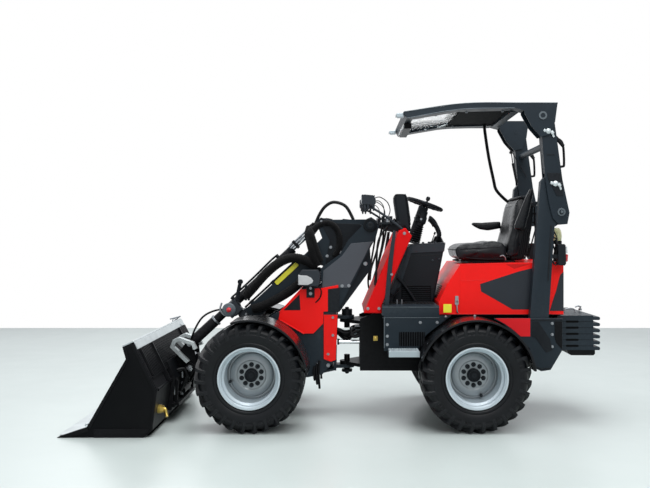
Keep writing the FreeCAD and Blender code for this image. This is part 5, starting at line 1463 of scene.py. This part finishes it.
def make_rops_detail():
    arms, rings, latches, handles, roof_bits = Shape(), Shape(), Shape(), Shape(), Shape()
    for side, sign in SIDES:
        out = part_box("rops_arm_" + side)
        y_out = max(abs(out[0].y), abs(out[1].y)) - 0.016
        face = sign * y_out
        rings.lathe([(0.016, 0.0), (0.028, 0.0), (0.028, 0.005), (0.016, 0.005)],
            (-1.514, face, 1.525), Y_AXIS * sign, 28, closed=True)
        rings.lathe([(0.0, 0.0), (0.01, 0.0), (0.01, 0.01), (0.0, 0.011)],
            (-1.514, sign * 0.493, 1.525), Y_AXIS * sign, 20)
        arms.side_prism(sign, [(-1.412, 1.8), (-1.505, 1.8), (-1.518, 1.77), (-1.528, 1.64),
            (-1.48, 1.64), (-1.42, 1.76)], y_out, y_out + 0.004)
        arms.side_box(sign, (-1.465, y_out, 1.928), (-1.412, y_out + 0.003, 1.934))
        for x, z in ((-1.470, 1.725), (-1.420, 2.095)):
            for dx, dz, size in ((0.0, 0.0, 0.020), (-0.028, -0.012, 0.013),
                                 (0.026, 0.004, 0.012)):
                latches.lathe([(size, 0.0), (size, 0.012), (size * 0.7, 0.016)],
                    (x + dx, face + sign * 0.001, z + dz), Y_AXIS * sign, 18)
            latches.side_prism(sign, [(x - 0.034, z - 0.016), (x + 0.034, z - 0.006),
                (x + 0.034, z + 0.01), (x - 0.034, z + 0.006)], y_out, y_out + 0.008)
            latches.side_prism(sign, [(x - 0.02, z - 0.014), (x - 0.034, z - 0.046),
                (x - 0.046, z - 0.04), (x - 0.034, z - 0.008)], y_out, y_out + 0.01)
        y_mid = sign * 0.438
        top, bottom = 2.045, 1.850
        handles.tube([(arm_back(top) + 0.006, y_mid, top), (arm_back(top) - 0.03, y_mid,
            top - 0.004), (arm_back(top) - 0.055, y_mid, top - 0.045),
            (arm_back(bottom) - 0.036, y_mid, bottom + 0.02), (arm_back(bottom) - 0.026, y_mid,
            bottom + 0.001), (arm_back(bottom) + 0.006, y_mid, bottom)], 0.0085, 12, steps=8)
        handles.rod((arm_back(2.06) - 0.004, y_mid, 2.06), (arm_back(2.0) - 0.052, y_mid, 1.995),
            0.013, 16)
    arms.build("rops_arm_plates", "rops_upper", [slate_dark], "anthracite_steel", bevel=0.001)
    rings.build("rops_pin_rings", "rops_upper", [steel_grey], "black_steel", bevel=0.0008)
    latches.build("rops_latches", "rops_upper", [steel_bright], "chrome_rod", bevel=0.0015)
    handles.build("rops_grab_handles", "rops_upper", [black_paint], "black_steel")
    stays = Shape()
    stays.rod((-1.34, -0.372, 2.036), (-1.352, -0.372, 1.95), 0.0045, 10)
    stays.rod((-1.352, -0.372, 1.95), (-1.385, -0.372, 1.791), 0.01, 14)
    stays.rod((-1.338, -0.386, 2.04), (-1.338, -0.358, 2.04), 0.013, 14)
    stays.rod((-1.3, -0.368, 2.12), (-1.463, -0.368, 1.837), 0.0035, 10)
    for x, z in ((-1.410, 2.030), (-1.418, 1.960)):
        stays.rod((x, 0.37, z), (x - 0.012, 0.366, z - 0.085), 0.003, 8)
    stays.build("rops_gas_struts", "rops_upper", [black_paint], "black_steel")
    for sign in (1, -1):
        y_face = sign * 0.497
        roof_bits.lathe([(0.017, 0.0), (0.029, 0.0), (0.029, 0.004), (0.017, 0.004)],
            (-1.38, y_face, 2.205), Y_AXIS * sign, 28, closed=True)
    roof_bits.build("roof_pin_rings", "roof", [steel_grey], "black_steel", bevel=0.0008)
    # Thin light grey lines along the roof's sides: a painted highlight standing in for the lit gap
    # under the roof's dark rear panel.
    edge = Shape()
    for sign in (1, -1):
        y = sign * 0.497
        edge.tube([(-0.4, y, 2.231), (-0.821, y, 2.29), (-1.25, y, 2.294), (-1.48, y, 2.294)],
            0.003, 8)
        edge.tube([(-0.424, y, 2.186), (-0.793, y, 2.2475), (-1.18, y, 2.258)], 0.003, 8)
    edge.build("roof_painted_highlight_lines", "roof", [steel_grey], "anthracite_steel")


def make_roof_detail():
    """A clear front pane, a dark rear panel and the small lamps under the roof's front."""
    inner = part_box("roof_panel")[1].y
    panel = Shape()
    panel.prism([(-1.23, 2.285), (-1.23, 2.297), (-0.822, 2.291), (-0.826, 2.279), (-1.18, 2.285)],
        -inner, inner, 0)
    panel.prism([(-0.822, 2.29), (-0.455, 2.239), (-0.456, 2.232), (-0.824, 2.283)],
        -inner + 0.004, inner - 0.004, 1)
    panel.prism([(-1.18, 2.266), (-1.18, 2.27), (-0.832, 2.266), (-0.8, 2.246), (-0.806, 2.242),
        (-0.836, 2.26)], -inner, inner, 2)
    for y in (-0.365, -0.12, 0.12, 0.365):
        panel.prism([(-0.826, 2.28), (-0.82, 2.268), (-0.475, 2.218), (-0.47, 2.231)], y - 0.005,
            y + 0.005, 1)
    piece = panel.build("roof_clear_and_dark_panel", "roof", [black_paint, clear, vent_black],
        "clear_plastic", bevel=0.0015)
    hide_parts("roof_panel")
    strip = Shape()
    strip.box((-0.475, -0.256, 2.146), (-0.42, 0.256, 2.188))
    for index in range(14):
        y = -0.238 + 0.0366 * index
        strip.lathe([(0.0135, 0.0), (0.0135, 0.006), (0.011, 0.01)], (-0.4225, y, 2.167), X_AXIS,
            14, 1)
    for y in (-0.20, 0.20):
        strip.box((-0.455, y - 0.012, 2.186), (-0.44, y + 0.012, 2.236), 0)
    piece = strip.build("roof_lamp_strip", "roof", [black_paint, lens], "lamp_body", bevel=0.0015)
    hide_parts("roof_light_bar")
    # The corner lamps' pale alloy bodies are partly their own metal and partly a painted highlight
    # for their glints.
    lamps = Shape()
    for y in (0.445, -0.445):
        lamps.prism([(-0.4, 2.226), (-0.352, 2.224), (-0.346, 2.206), (-0.362, 2.196),
            (-0.404, 2.198)], y - 0.03, y + 0.03)
        lamps.box((-0.35, y - 0.026, 2.2), (-0.344, y + 0.026, 2.22), 1)
    lamps.build("roof_corner_lamps", "roof", [alloy_and_glint, lens], "lamp_body", bevel=0.002)
    brace = Shape()
    for sign in (1, -1):
        brace.side_prism(sign, [(-0.73, 2.24), (-0.762, 2.243), (-0.85, 2.272), (-0.818, 2.276)],
            0.36, 0.376)
    brace.build("roof_light_braces", "roof", [steel_bright], "lamp_body", bevel=0.001)
    bolts = Shape()
    for sign in (1, -1):
        for x, z in ((-0.640, 2.226), (-0.860, 2.249), (-1.120, 2.256)):
            bolts.bolt((x, sign * 0.379, z), -Y_AXIS * sign, 0.008)
    bolts.build("roof_bolts", "roof", [zinc], "black_steel")
    rail = Shape()
    rail.tube([(-1.116, -0.343, 2.258), (-1.12, -0.343, 2.2), (-1.15, -0.343, 2.0),
        (-1.192, -0.343, 1.8), (-1.205, -0.343, 1.745), (-1.236, -0.343, 1.7),
        (-1.3, -0.343, 1.64), (-1.338, -0.343, 1.622)], 0.0125, 14, steps=8)
    piece = rail.build("roof_grab_rail", "roof", [black_paint], "black_steel", smooth=60)
    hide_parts("grab_rail")


# ---------------------------------------------------------------- rear end
def make_counterweight():
    """A stack of plates: slots along the sides, a comb of ends at the rear."""
    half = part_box("counterweight")[1].y
    levels = (0.735, 0.691, 0.646, 0.603, 0.559)
    edges = (0.78,) + levels + (0.52,)
    shape = Shape()
    shape.prism([(-1.524, 0.532), (-1.524, 0.77), (-1.534, 0.779), (-1.782, 0.779),
        (-1.788, 0.772), (-1.788, 0.534), (-1.78, 0.528), (-1.534, 0.528)], -half, half, 0)
    for upper, lower in zip(edges, edges[1:]):
        middle = (upper + lower) / 2
        shape.prism([(-1.78, middle + 0.012), (-1.83, middle + 0.012), (-1.837, middle + 0.006),
            (-1.837, middle - 0.006), (-1.83, middle - 0.012), (-1.78, middle - 0.012)],
            -half + 0.002, half - 0.002, 0)
    shape.prism([(-1.6, 0.53), (-1.604, 0.505), (-1.628, 0.49), (-1.79, 0.489), (-1.802, 0.5),
        (-1.802, 0.53)], -half + 0.006, half - 0.006, 1)
    for sign in (1, -1):
        for level in levels:
            slot = [(-1.592, level - 0.0075), (-1.676, level - 0.0075), (-1.683, level),
                (-1.676, level + 0.0075), (-1.592, level + 0.0075), (-1.586, level)]
            shape.side_prism(sign, slot, half - 0.002, half + 0.0012, 2)
        for level in edges[1:-1]:
            shape.side_prism(sign, [(-1.53, level - 0.001), (-1.786, level - 0.001),
                (-1.786, level + 0.001), (-1.53, level + 0.001)], half, half + 0.0008, 2)
    piece = shape.build("counterweight_plates", "rear_frame", [slate, black_paint, vent_black],
        "anthracite_steel", bevel=0.0025)
    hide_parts("counterweight")


def make_rear_detail():
    make_counterweight()
    pin = Shape()
    pin.rod((-1.79, 0, 0.786), (-1.79, 0, 0.8), 0.013, 18)
    pin.tube([(-1.79, 0.0, 0.796), (-1.79, 0.0, 0.812), (-1.772, 0.0, 0.82), (-1.752, 0.0, 0.812)],
        0.006, 10)
    pin.rod((-1.79, -0.022, 0.816), (-1.79, 0.022, 0.816), 0.005, 10)
    pin.tube([(-1.65, 0.06, 0.781), (-1.66, 0.06, 0.8), (-1.7, 0.058, 0.806), (-1.73, 0.05, 0.798),
        (-1.735, 0.05, 0.783)], 0.005, 10)
    pin.build("tow_pin_handle", "rear_frame", [zinc], "chrome_rod")
    for side, sign in SIDES:
        y_mid = sign * 0.438
        lamp = Shape()
        lamp.prism([(-1.496, 1.15), (-1.496, 1.296), (-1.54, 1.299), (-1.548, 1.29),
            (-1.552, 1.16), (-1.542, 1.146)], y_mid - 0.031, y_mid + 0.031)
        lamp.box((-1.5, y_mid - 0.016, 1.196), (-1.455, y_mid + 0.016, 1.224))
        lamp.tube([(-1.505, y_mid, 1.17), (-1.488, y_mid, 1.15), (-1.472, y_mid, 1.16),
            (-1.458, y_mid * 0.98, 1.19)], 0.005, 8)
        piece = lamp.build("tail_lamp_housing_" + side, "rear_frame", [plastic], "lamp_body",
            bevel=0.003)
        if sign > 0:
            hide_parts("tail_lights")
        glass = Shape()
        glass.prism([(-1.55, 1.172), (-1.564, 1.176), (-1.567, 1.224), (-1.551, 1.228)],
            y_mid - 0.027, y_mid + 0.027)
        glass.build("tail_lamp_red_" + side, "rear_frame", [red_lens], "red_paint", bevel=0.002)
        white = Shape()
        white.prism([(-1.55, 1.232), (-1.563, 1.234), (-1.56, 1.28), (-1.548, 1.282)],
            y_mid - 0.027, y_mid + 0.027)
        white.build("tail_lamp_white_" + side, "rear_frame", [lens], "clear_plastic", bevel=0.002)
        wires = Shape()
        wires.tube([(-1.47, y_mid * 0.97, 1.4), (-1.5, y_mid * 0.96, 1.34),
            (-1.486, y_mid * 0.97, 1.27), (-1.5, y_mid * 0.96, 1.2)], 0.0045, 8)
        wires.tube([(-1.462, y_mid * 0.95, 1.32), (-1.484, y_mid * 0.95, 1.25),
            (-1.478, y_mid * 0.95, 1.185)], 0.006, 8)
        wires.tube([(-1.458, y_mid, 1.35), (-1.492, y_mid, 1.33), (-1.496, y_mid, 1.26),
            (-1.482, y_mid, 1.215)], 0.0055, 8)
        wires.rod((-1.486, y_mid, 1.33), (-1.49, y_mid, 1.3), 0.011, 12)
        wires.build("rear_post_wires_" + side, "rear_frame", [hose_rubber], "black_plastic")
    glow = Shape()
    glow.lathe([(0.0, 0.0), (0.03, 0.0), (0.033, 0.008), (0.036, 0.035), (0.032, 0.066),
        (0.023, 0.088), (0.01, 0.096), (0.0, 0.097)], (-1.53, 0.3, 1.32), Z_AXIS, 32)
    glow.build("beacon_glass", "hood", [beacon], "clear_plastic")
    stem = Shape()
    stem.rod((-1.53, 0.3, 1.296), (-1.53, 0.3, 1.322), 0.036, 28)
    stem.rod((-1.515, 0.3, 1.17), (-1.515, 0.3, 1.178), 0.03, 28)
    stem.tube([(-1.515, 0.3, 1.174), (-1.516, 0.3, 1.22), (-1.526, 0.3, 1.262), (-1.53, 0.3, 1.3)],
        0.012, 14)
    stem.build("beacon_stem", "hood", [black_paint], "black_steel", bevel=0.0015)
    posts = Shape()
    for sign in (1, -1):
        posts.side_box(sign, (-1.42, 0.4665, 0.716), (-1.296, 0.47, 0.724))
        posts.side_prism(sign, [(-1.44, 1.43), (-1.452, 1.43), (-1.43, 1.04), (-1.418, 1.04)],
            0.4665, 0.47)
    posts.build("rops_post_ribs", "rear_frame", [slate_dark], "anthracite_steel", bevel=0.0008)


# ---------------------------------------------------------------- seat
CLOTH_FRAMES = 20
SEAT_TOP = 1.174  # top of the seat base
SEAT_INSET, ARM_INSET = 0.009, 0.004  # how much smaller a pad starts than its solid
SEAT_PAD = (0.006, 4.0, 0.013)  # voxel, pressure and furthest movement of the cushions
ARM_PAD = (0.005, 3.0, 0.008)  # the same for the armrests


def cushion_mesh(name, outline, y_low, y_high, inset):
    """A closed form from a side outline, a little smaller than the space it fills."""
    shape = Shape()
    centre_x = sum(x for x, _ in outline) / len(outline)
    centre_z = sum(z for _, z in outline) / len(outline)
    small = []
    for x, z in outline:
        away = Vector((x - centre_x, 0, z - centre_z))
        pull = away.normalized() * inset
        small.append((x - pull.x, z - pull.z))
    shape.prism(small, y_low + inset, y_high - inset)
    return shape.build(name, None, [vinyl], smooth=80)


def inflate(piece, voxel, pressure, cap):
    """Pad a closed form as cloth under pressure; no point moves further than the cap."""
    scene = bpy.context.scene
    remesh = piece.modifiers.new("remesh", "REMESH")
    remesh.mode = "VOXEL"
    remesh.voxel_size = voxel
    remesh.use_smooth_shade = True
    apply_all(piece)
    start = [vertex.co.copy() for vertex in piece.data.vertices]
    cloth = piece.modifiers.new("cloth", "CLOTH")
    cloth.settings.quality = 6
    cloth.settings.mass = 0.35
    cloth.settings.tension_stiffness = 22
    cloth.settings.compression_stiffness = 22
    cloth.settings.shear_stiffness = 10
    cloth.settings.bending_stiffness = 1.2
    cloth.settings.use_pressure = True
    cloth.settings.uniform_pressure_force = pressure
    cloth.settings.effector_weights.gravity = 0
    cloth.point_cache.frame_start = 1
    cloth.point_cache.frame_end = CLOTH_FRAMES
    for step in range(1, CLOTH_FRAMES + 1):
        scene.frame_set(step)
    apply_all(piece)
    scene.frame_set(1)
    for vertex, home in zip(piece.data.vertices, start):
        moved = vertex.co - home
        vertex.co = home + moved * cap / (cap + moved.length)
    relax = piece.modifiers.new("relax", "SMOOTH")
    relax.factor = 0.5
    relax.iterations = 10
    apply_all(piece)


def apply_all(piece):
    """Put the result of the modifiers into the mesh."""
    depsgraph = bpy.context.evaluated_depsgraph_get()
    result = bpy.data.meshes.new_from_object(piece.evaluated_get(depsgraph))
    piece.modifiers.clear()
    piece.data = result
    result.polygons.foreach_set("use_smooth", [True] * len(result.polygons))


def hold_in(piece, low, high):
    """Keep a padded form inside the space of its solid."""
    for vertex in piece.data.vertices:
        for axis in range(3):
            vertex.co[axis] = min(max(vertex.co[axis], low[axis]), high[axis])


def finish_pad(piece, node):
    """Refine a pad and say what it rides and which solid it replaces (if any)."""
    extra = piece.modifiers.new("fine", "SUBSURF")
    extra.levels = 1
    extra.render_levels = 1
    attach(piece, "hood")
    if node:
        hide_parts(node)


def make_seat():
    top = SEAT_TOP
    low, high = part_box("seat_cushion")
    outline = [(-0.85, top + 0.004), (-0.822, top + 0.01), (-0.8, top + 0.03), (-0.79, top + 0.07),
        (-0.798, top + 0.1), (-0.84, top + 0.12), (-0.905, top + 0.128), (-1.0, top + 0.134),
        (-1.09, top + 0.144), (-1.16, top + 0.134), (-1.187, top + 0.098), (-1.187, top + 0.001)]
    cushion = cushion_mesh("seat_cushion_vinyl", outline, low.y, high.y, SEAT_INSET)
    inflate(cushion, *SEAT_PAD)
    hold_in(cushion, low - Vector((0.004, 0.004, 0.0)), high + Vector((0.004, 0.004, 0.008)))
    hollow(cushion, at(-0.99, 0, top + 0.125), Z_AXIS, 0.018, 0.17, 0.185)
    finish_pad(cushion, "seat_cushion")
    low_b, high_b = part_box("seat_backrest")
    outline_b = [(-1.19, top + 0.02), (-1.186, top + 0.11), (-1.214, 1.4), (-1.244, 1.56),
        (-1.262, 1.626), (-1.295, 1.651), (-1.33, 1.648), (-1.352, 1.62), (-1.33, 1.45),
        (-1.29, 1.28), (-1.262, 1.2)]
    back = cushion_mesh("seat_backrest_vinyl", outline_b, low_b.y, high_b.y, SEAT_INSET)
    inflate(back, *SEAT_PAD)
    hold_in(back, low_b - Vector((0.0, 0.004, 0.0)), high_b + Vector((0.006, 0.004, 0.004)))
    narrow_top(back, 1.42, 1.653, 0.16)
    hollow(back, at(-1.2, 0, 1.44), X_AXIS, 0.018, 0.2, 0.13)
    finish_pad(back, "seat_backrest")
    make_seat_seams(high.y - 0.004, high_b.y - 0.003)
    make_armrests()
    make_seat_shell()


def hollow(piece, spot, facing, depth, reach_a, reach_b):
    """Press a shallow seat shape into the facing side."""
    for vertex in piece.data.vertices:
        offset = vertex.co - spot
        along = offset.dot(facing)
        if along < -0.045:
            continue
        flat = offset - facing * along
        share = 1 - (flat.x / reach_a if facing.z else flat.z / reach_a) ** 2
        share_y = 1 - (flat.y / reach_b) ** 2
        if share > 0 and share_y > 0:
            vertex.co -= facing * depth * share * share_y


def narrow_top(piece, start, end, amount):
    """Draw the sides in above a height, most at the end height."""
    for vertex in piece.data.vertices:
        if vertex.co.z > start:
            share = (vertex.co.z - start) / (end - start)
            vertex.co.y *= 1 - amount * share * share


def make_seat_seams(y, y_back):
    """Piping along the sides of the cushion and the backrest, at those half widths."""
    seams = Shape()
    for sign in (1, -1):
        seams.tube([(-0.812, sign * (y - 0.016), 1.256), (-0.86, sign * y, 1.262),
            (-1.0, sign * y, 1.268), (-1.128, sign * y, 1.275)], 0.003, 8)
        seams.tube([(-0.88, sign * y, 1.196), (-1.0, sign * (y + 0.001), 1.186),
            (-1.17, sign * y, 1.186)], 0.0035, 8)
    seams.tube([(-0.812, -0.22, 1.256), (-0.799, -0.185, 1.254), (-0.795, 0, 1.253),
        (-0.799, 0.185, 1.254), (-0.812, 0.22, 1.256)], 0.003, 8)
    for sign in (1, -1):
        seams.tube([(-1.232, sign * y_back, 1.235), (-1.24, sign * y_back, 1.33),
            (-1.264, sign * y_back, 1.44), (-1.286, sign * (y_back - 0.012), 1.54),
            (-1.302, sign * (y_back - 0.034), 1.61)], 0.0032, 8)
    seams.build("seat_piping", "hood", [plastic], "black_vinyl")


def make_armrests():
    right = [(-0.992, 1.452), (-1.002, 1.466), (-1.08, 1.468), (-1.232, 1.474), (-1.238, 1.42),
        (-1.13, 1.398), (-1.06, 1.408), (-1.01, 1.436)]
    left = [(-1.228, 1.402), (-1.303, 1.402), (-1.34, 1.52), (-1.371, 1.68), (-1.362, 1.706),
        (-1.342, 1.708), (-1.306, 1.64), (-1.27, 1.56), (-1.225, 1.43)]
    for name, outline, y_low, y_high in (("armrest_pad_right", right, -0.288, -0.242),
                                         ("armrest_pad_left", left, 0.242, 0.288)):
        pad = cushion_mesh(name, outline, y_low, y_high, ARM_INSET)
        inflate(pad, *ARM_PAD)
        xs, zs = zip(*outline)
        pad_low = at(min(xs) - 0.004, y_low - 0.002, min(zs) - 0.004)
        pad_high = at(max(xs) + 0.004, y_high + 0.002, max(zs) + 0.002)
        hold_in(pad, pad_low, pad_high)
        finish_pad(pad, "armrests" if name.endswith("right") else None)
    brackets = Shape()
    brackets.box((-1.275, -0.268, 1.398), (-1.225, -0.232, 1.436))
    brackets.rod((-1.262, -0.29, 1.418), (-1.262, -0.23, 1.418), 0.016, 18)
    brackets.box((-1.305, 0.232, 1.396), (-1.262, 0.268, 1.432))
    brackets.rod((-1.284, 0.23, 1.412), (-1.284, 0.291, 1.412), 0.014, 18)
    brackets.build("armrest_brackets", "hood", [black_paint], "black_steel", bevel=0.002)


def make_seat_shell():
    shell = Shape()
    outline = [(-1.268, 1.64), (-1.3, 1.658), (-1.352, 1.655), (-1.383, 1.6), (-1.38, 1.5),
        (-1.372, 1.42), (-1.356, 1.33), (-1.326, 1.215), (-1.296, 1.176), (-1.215, 1.176),
        (-1.205, 1.25), (-1.262, 1.29), (-1.3, 1.42), (-1.328, 1.56), (-1.318, 1.628)]
    shell.prism(outline, -0.205, 0.205)
    shell.build("seat_rear_shell", "hood", [plastic], "black_plastic", bevel=0.014)
    pleats = Shape()
    for sign in (1, -1):
        for index in range(7):
            x = -1.236 - 0.014 * index
            pleats.tube([(x, sign * 0.206, 1.19), (x - 0.018, sign * 0.209, 1.29),
                (x - 0.028, sign * 0.206, 1.395)], 0.0055, 8)
        pleats.side_box(sign, (-1.35, 0.202, 1.392), (-1.225, 0.209, 1.408))
    pleats.build("seat_shroud_pleats", "hood", [rubber], "black_plastic", bevel=0.001)
    lever = Shape()
    lever.tube([(-1.128, 0.236, 1.206), (-1.15, 0.244, 1.212), (-1.166, 0.244, 1.196),
        (-1.168, 0.24, 1.178)], 0.0045, 10)
    lever.build("seat_recline_lever", "hood", [zinc], "chrome_rod")
    pivot = Shape()
    for sign in (1, -1):
        pivot.rod((-1.205, sign * 0.215, 1.232), (-1.205, sign * 0.243, 1.232), 0.022, 24)
    pivot.build("seat_recline_pivots", "hood", [plastic], "black_plastic", bevel=0.002)
    reel = Shape()
    reel.prism([(-1.352, 1.575), (-1.395, 1.58), (-1.425, 1.6), (-1.422, 1.612), (-1.38, 1.61),
        (-1.35, 1.596)], 0.175, 0.225)
    reel.build("seat_belt_reel", "hood", [plastic_grey], "lamp_body", bevel=0.004)
    belt = Shape()
    belt.prism([(-1.386, 1.596), (-1.391, 1.596), (-1.4, 1.4), (-1.342, 1.19), (-1.337, 1.19),
        (-1.394, 1.4)], 0.188, 0.214)
    for z in (1.450, 1.515):
        belt.prism([(-1.38, z), (-1.412, z), (-1.412, z + 0.012), (-1.38, z + 0.012)], 0.184,
            0.218)
    belt.build("seat_belt", "hood", [sleeve], "black_plastic", bevel=0.0008)
    rails = Shape()
    for sign in (1, -1):
        rails.side_box(sign, (-1.24, 0.15, 1.1695), (-0.85, 0.18, 1.177))
    rails.tube([(-0.88, -0.15, 1.172), (-0.835, -0.14, 1.17), (-0.826, 0, 1.17),
        (-0.835, 0.14, 1.17), (-0.88, 0.15, 1.172)], 0.006, 10)
    rails.build("seat_rails", "hood", [black_paint], "black_steel", bevel=0.001)


# ---------------------------------------------------------------- stage
EYE_HEIGHT = 1.3415
EYE_DISTANCE = 5.99
LENS, SENSOR = 43.2, 36  # millimetres
SHIFT_X, SHIFT_Y = -22 / 650, -6 / 650  # shares of the picture's width
FLOOR_REACH, FLOOR_BACK, FLOOR_FRONT = 14.0, -5.64, 8.0
SKY = (0.47, 0.48, 0.49, 1)  # what the matt surfaces see
AIM = Vector((-0.1, 0, 0.8))  # where the lamps point


def make_stage():
    make_floor()
    make_world()
    make_lights()
    make_camera()
    bpy.context.scene.view_settings.view_transform = "Standard"


def make_floor():
    floor_mesh = bpy.data.meshes.new("floor")
    corners = [(-FLOOR_REACH, FLOOR_BACK, 0), (FLOOR_REACH, FLOOR_BACK, 0),
        (FLOOR_REACH, FLOOR_FRONT, 0), (-FLOOR_REACH, FLOOR_FRONT, 0)]
    floor_mesh.from_pydata(corners, [], [(0, 1, 2, 3)])
    floor = bpy.data.objects.new("floor", floor_mesh)
    bpy.context.scene.collection.objects.link(floor)
    floor_finish = new_material("pale_floor", (0.5, 0.56, 0.55), 0.34, tone=0.035, tone_scale=0.8,
        grain=0.01, grain_scale=6)
    floor.data.materials.append(floor_finish)


def make_world():
    """A pale surround that the camera, metal and glass see as white."""
    world = bpy.data.worlds.new("studio")
    bpy.context.scene.world = world
    world.use_nodes = True
    nodes = world.node_tree.nodes
    links = world.node_tree.links
    background = nodes["Background"]
    background.inputs["Strength"].default_value = 1.0
    rays = nodes.new("ShaderNodeLightPath")
    tint = None
    for name, color in (("Is Glossy Ray", (0.95, 0.97, 1.0)),
                        ("Is Transmission Ray", (1.0, 1.0, 1.0)),
                        ("Is Camera Ray", (1.0, 1.0, 1.0))):
        mix = nodes.new("ShaderNodeMix")
        mix.data_type = "RGBA"
        mix.inputs["A"].default_value = SKY
        mix.inputs["B"].default_value = (*color, 1)
        links.new(rays.outputs[name], mix.inputs["Factor"])
        if tint is not None:
            links.new(tint, mix.inputs["A"])
        tint = mix.outputs["Result"]
    links.new(tint, background.inputs["Color"])


def make_lights():
    for name, place, size, power in (
            ("key", (-1.8, 6.0, 6.0), 4.0, 220),
            ("top", (-0.3, 0.6, 6.5), 5.0, 470),
            ("back", (3.0, -5.0, 4.0), 3.0, 60)):
        light = bpy.data.lights.new(name, "AREA")
        light.size = size
        light.energy = power
        lamp = bpy.data.objects.new(name, light)
        lamp.location = place
        aim = (AIM - Vector(place)).normalized()
        lamp.rotation_euler = aim.to_track_quat("-Z", "Y").to_euler()
        bpy.context.scene.collection.objects.link(lamp)


def make_camera():
    """A level camera beside the machine, with its middle shifted off the picture's."""
    scene = bpy.context.scene
    camera = bpy.data.cameras.new("camera")
    eye = bpy.data.objects.new("camera", camera)
    scene.collection.objects.link(eye)
    eye.location = (steer_pivot.x, EYE_DISTANCE, EYE_HEIGHT)
    eye.rotation_euler = (math.radians(90), 0, math.radians(180))
    camera.sensor_width = SENSOR
    camera.lens = LENS
    camera.shift_x = SHIFT_X
    camera.shift_y = SHIFT_Y
    scene.camera = eye


# ---------------------------------------------------------------- build everything
for make in (finish_nodes, make_wheels, make_bucket_detail, make_coupler_detail, make_boom_detail,
        make_tilt_detail, make_nose_detail, make_multi_coupler, make_boom_hoses, make_tower_detail,
        make_front_lamp_detail, make_articulation, make_front_frame_detail, make_deck_detail,
        make_console_detail, make_column_detail, make_steering_wheel, make_pod_detail,
        make_control_detail, make_work_light_detail, make_shield_detail, make_hood_detail,
        make_rear_wedge, make_rops_detail, make_roof_detail, make_rear_detail, make_seat,
        make_stage):
    make()
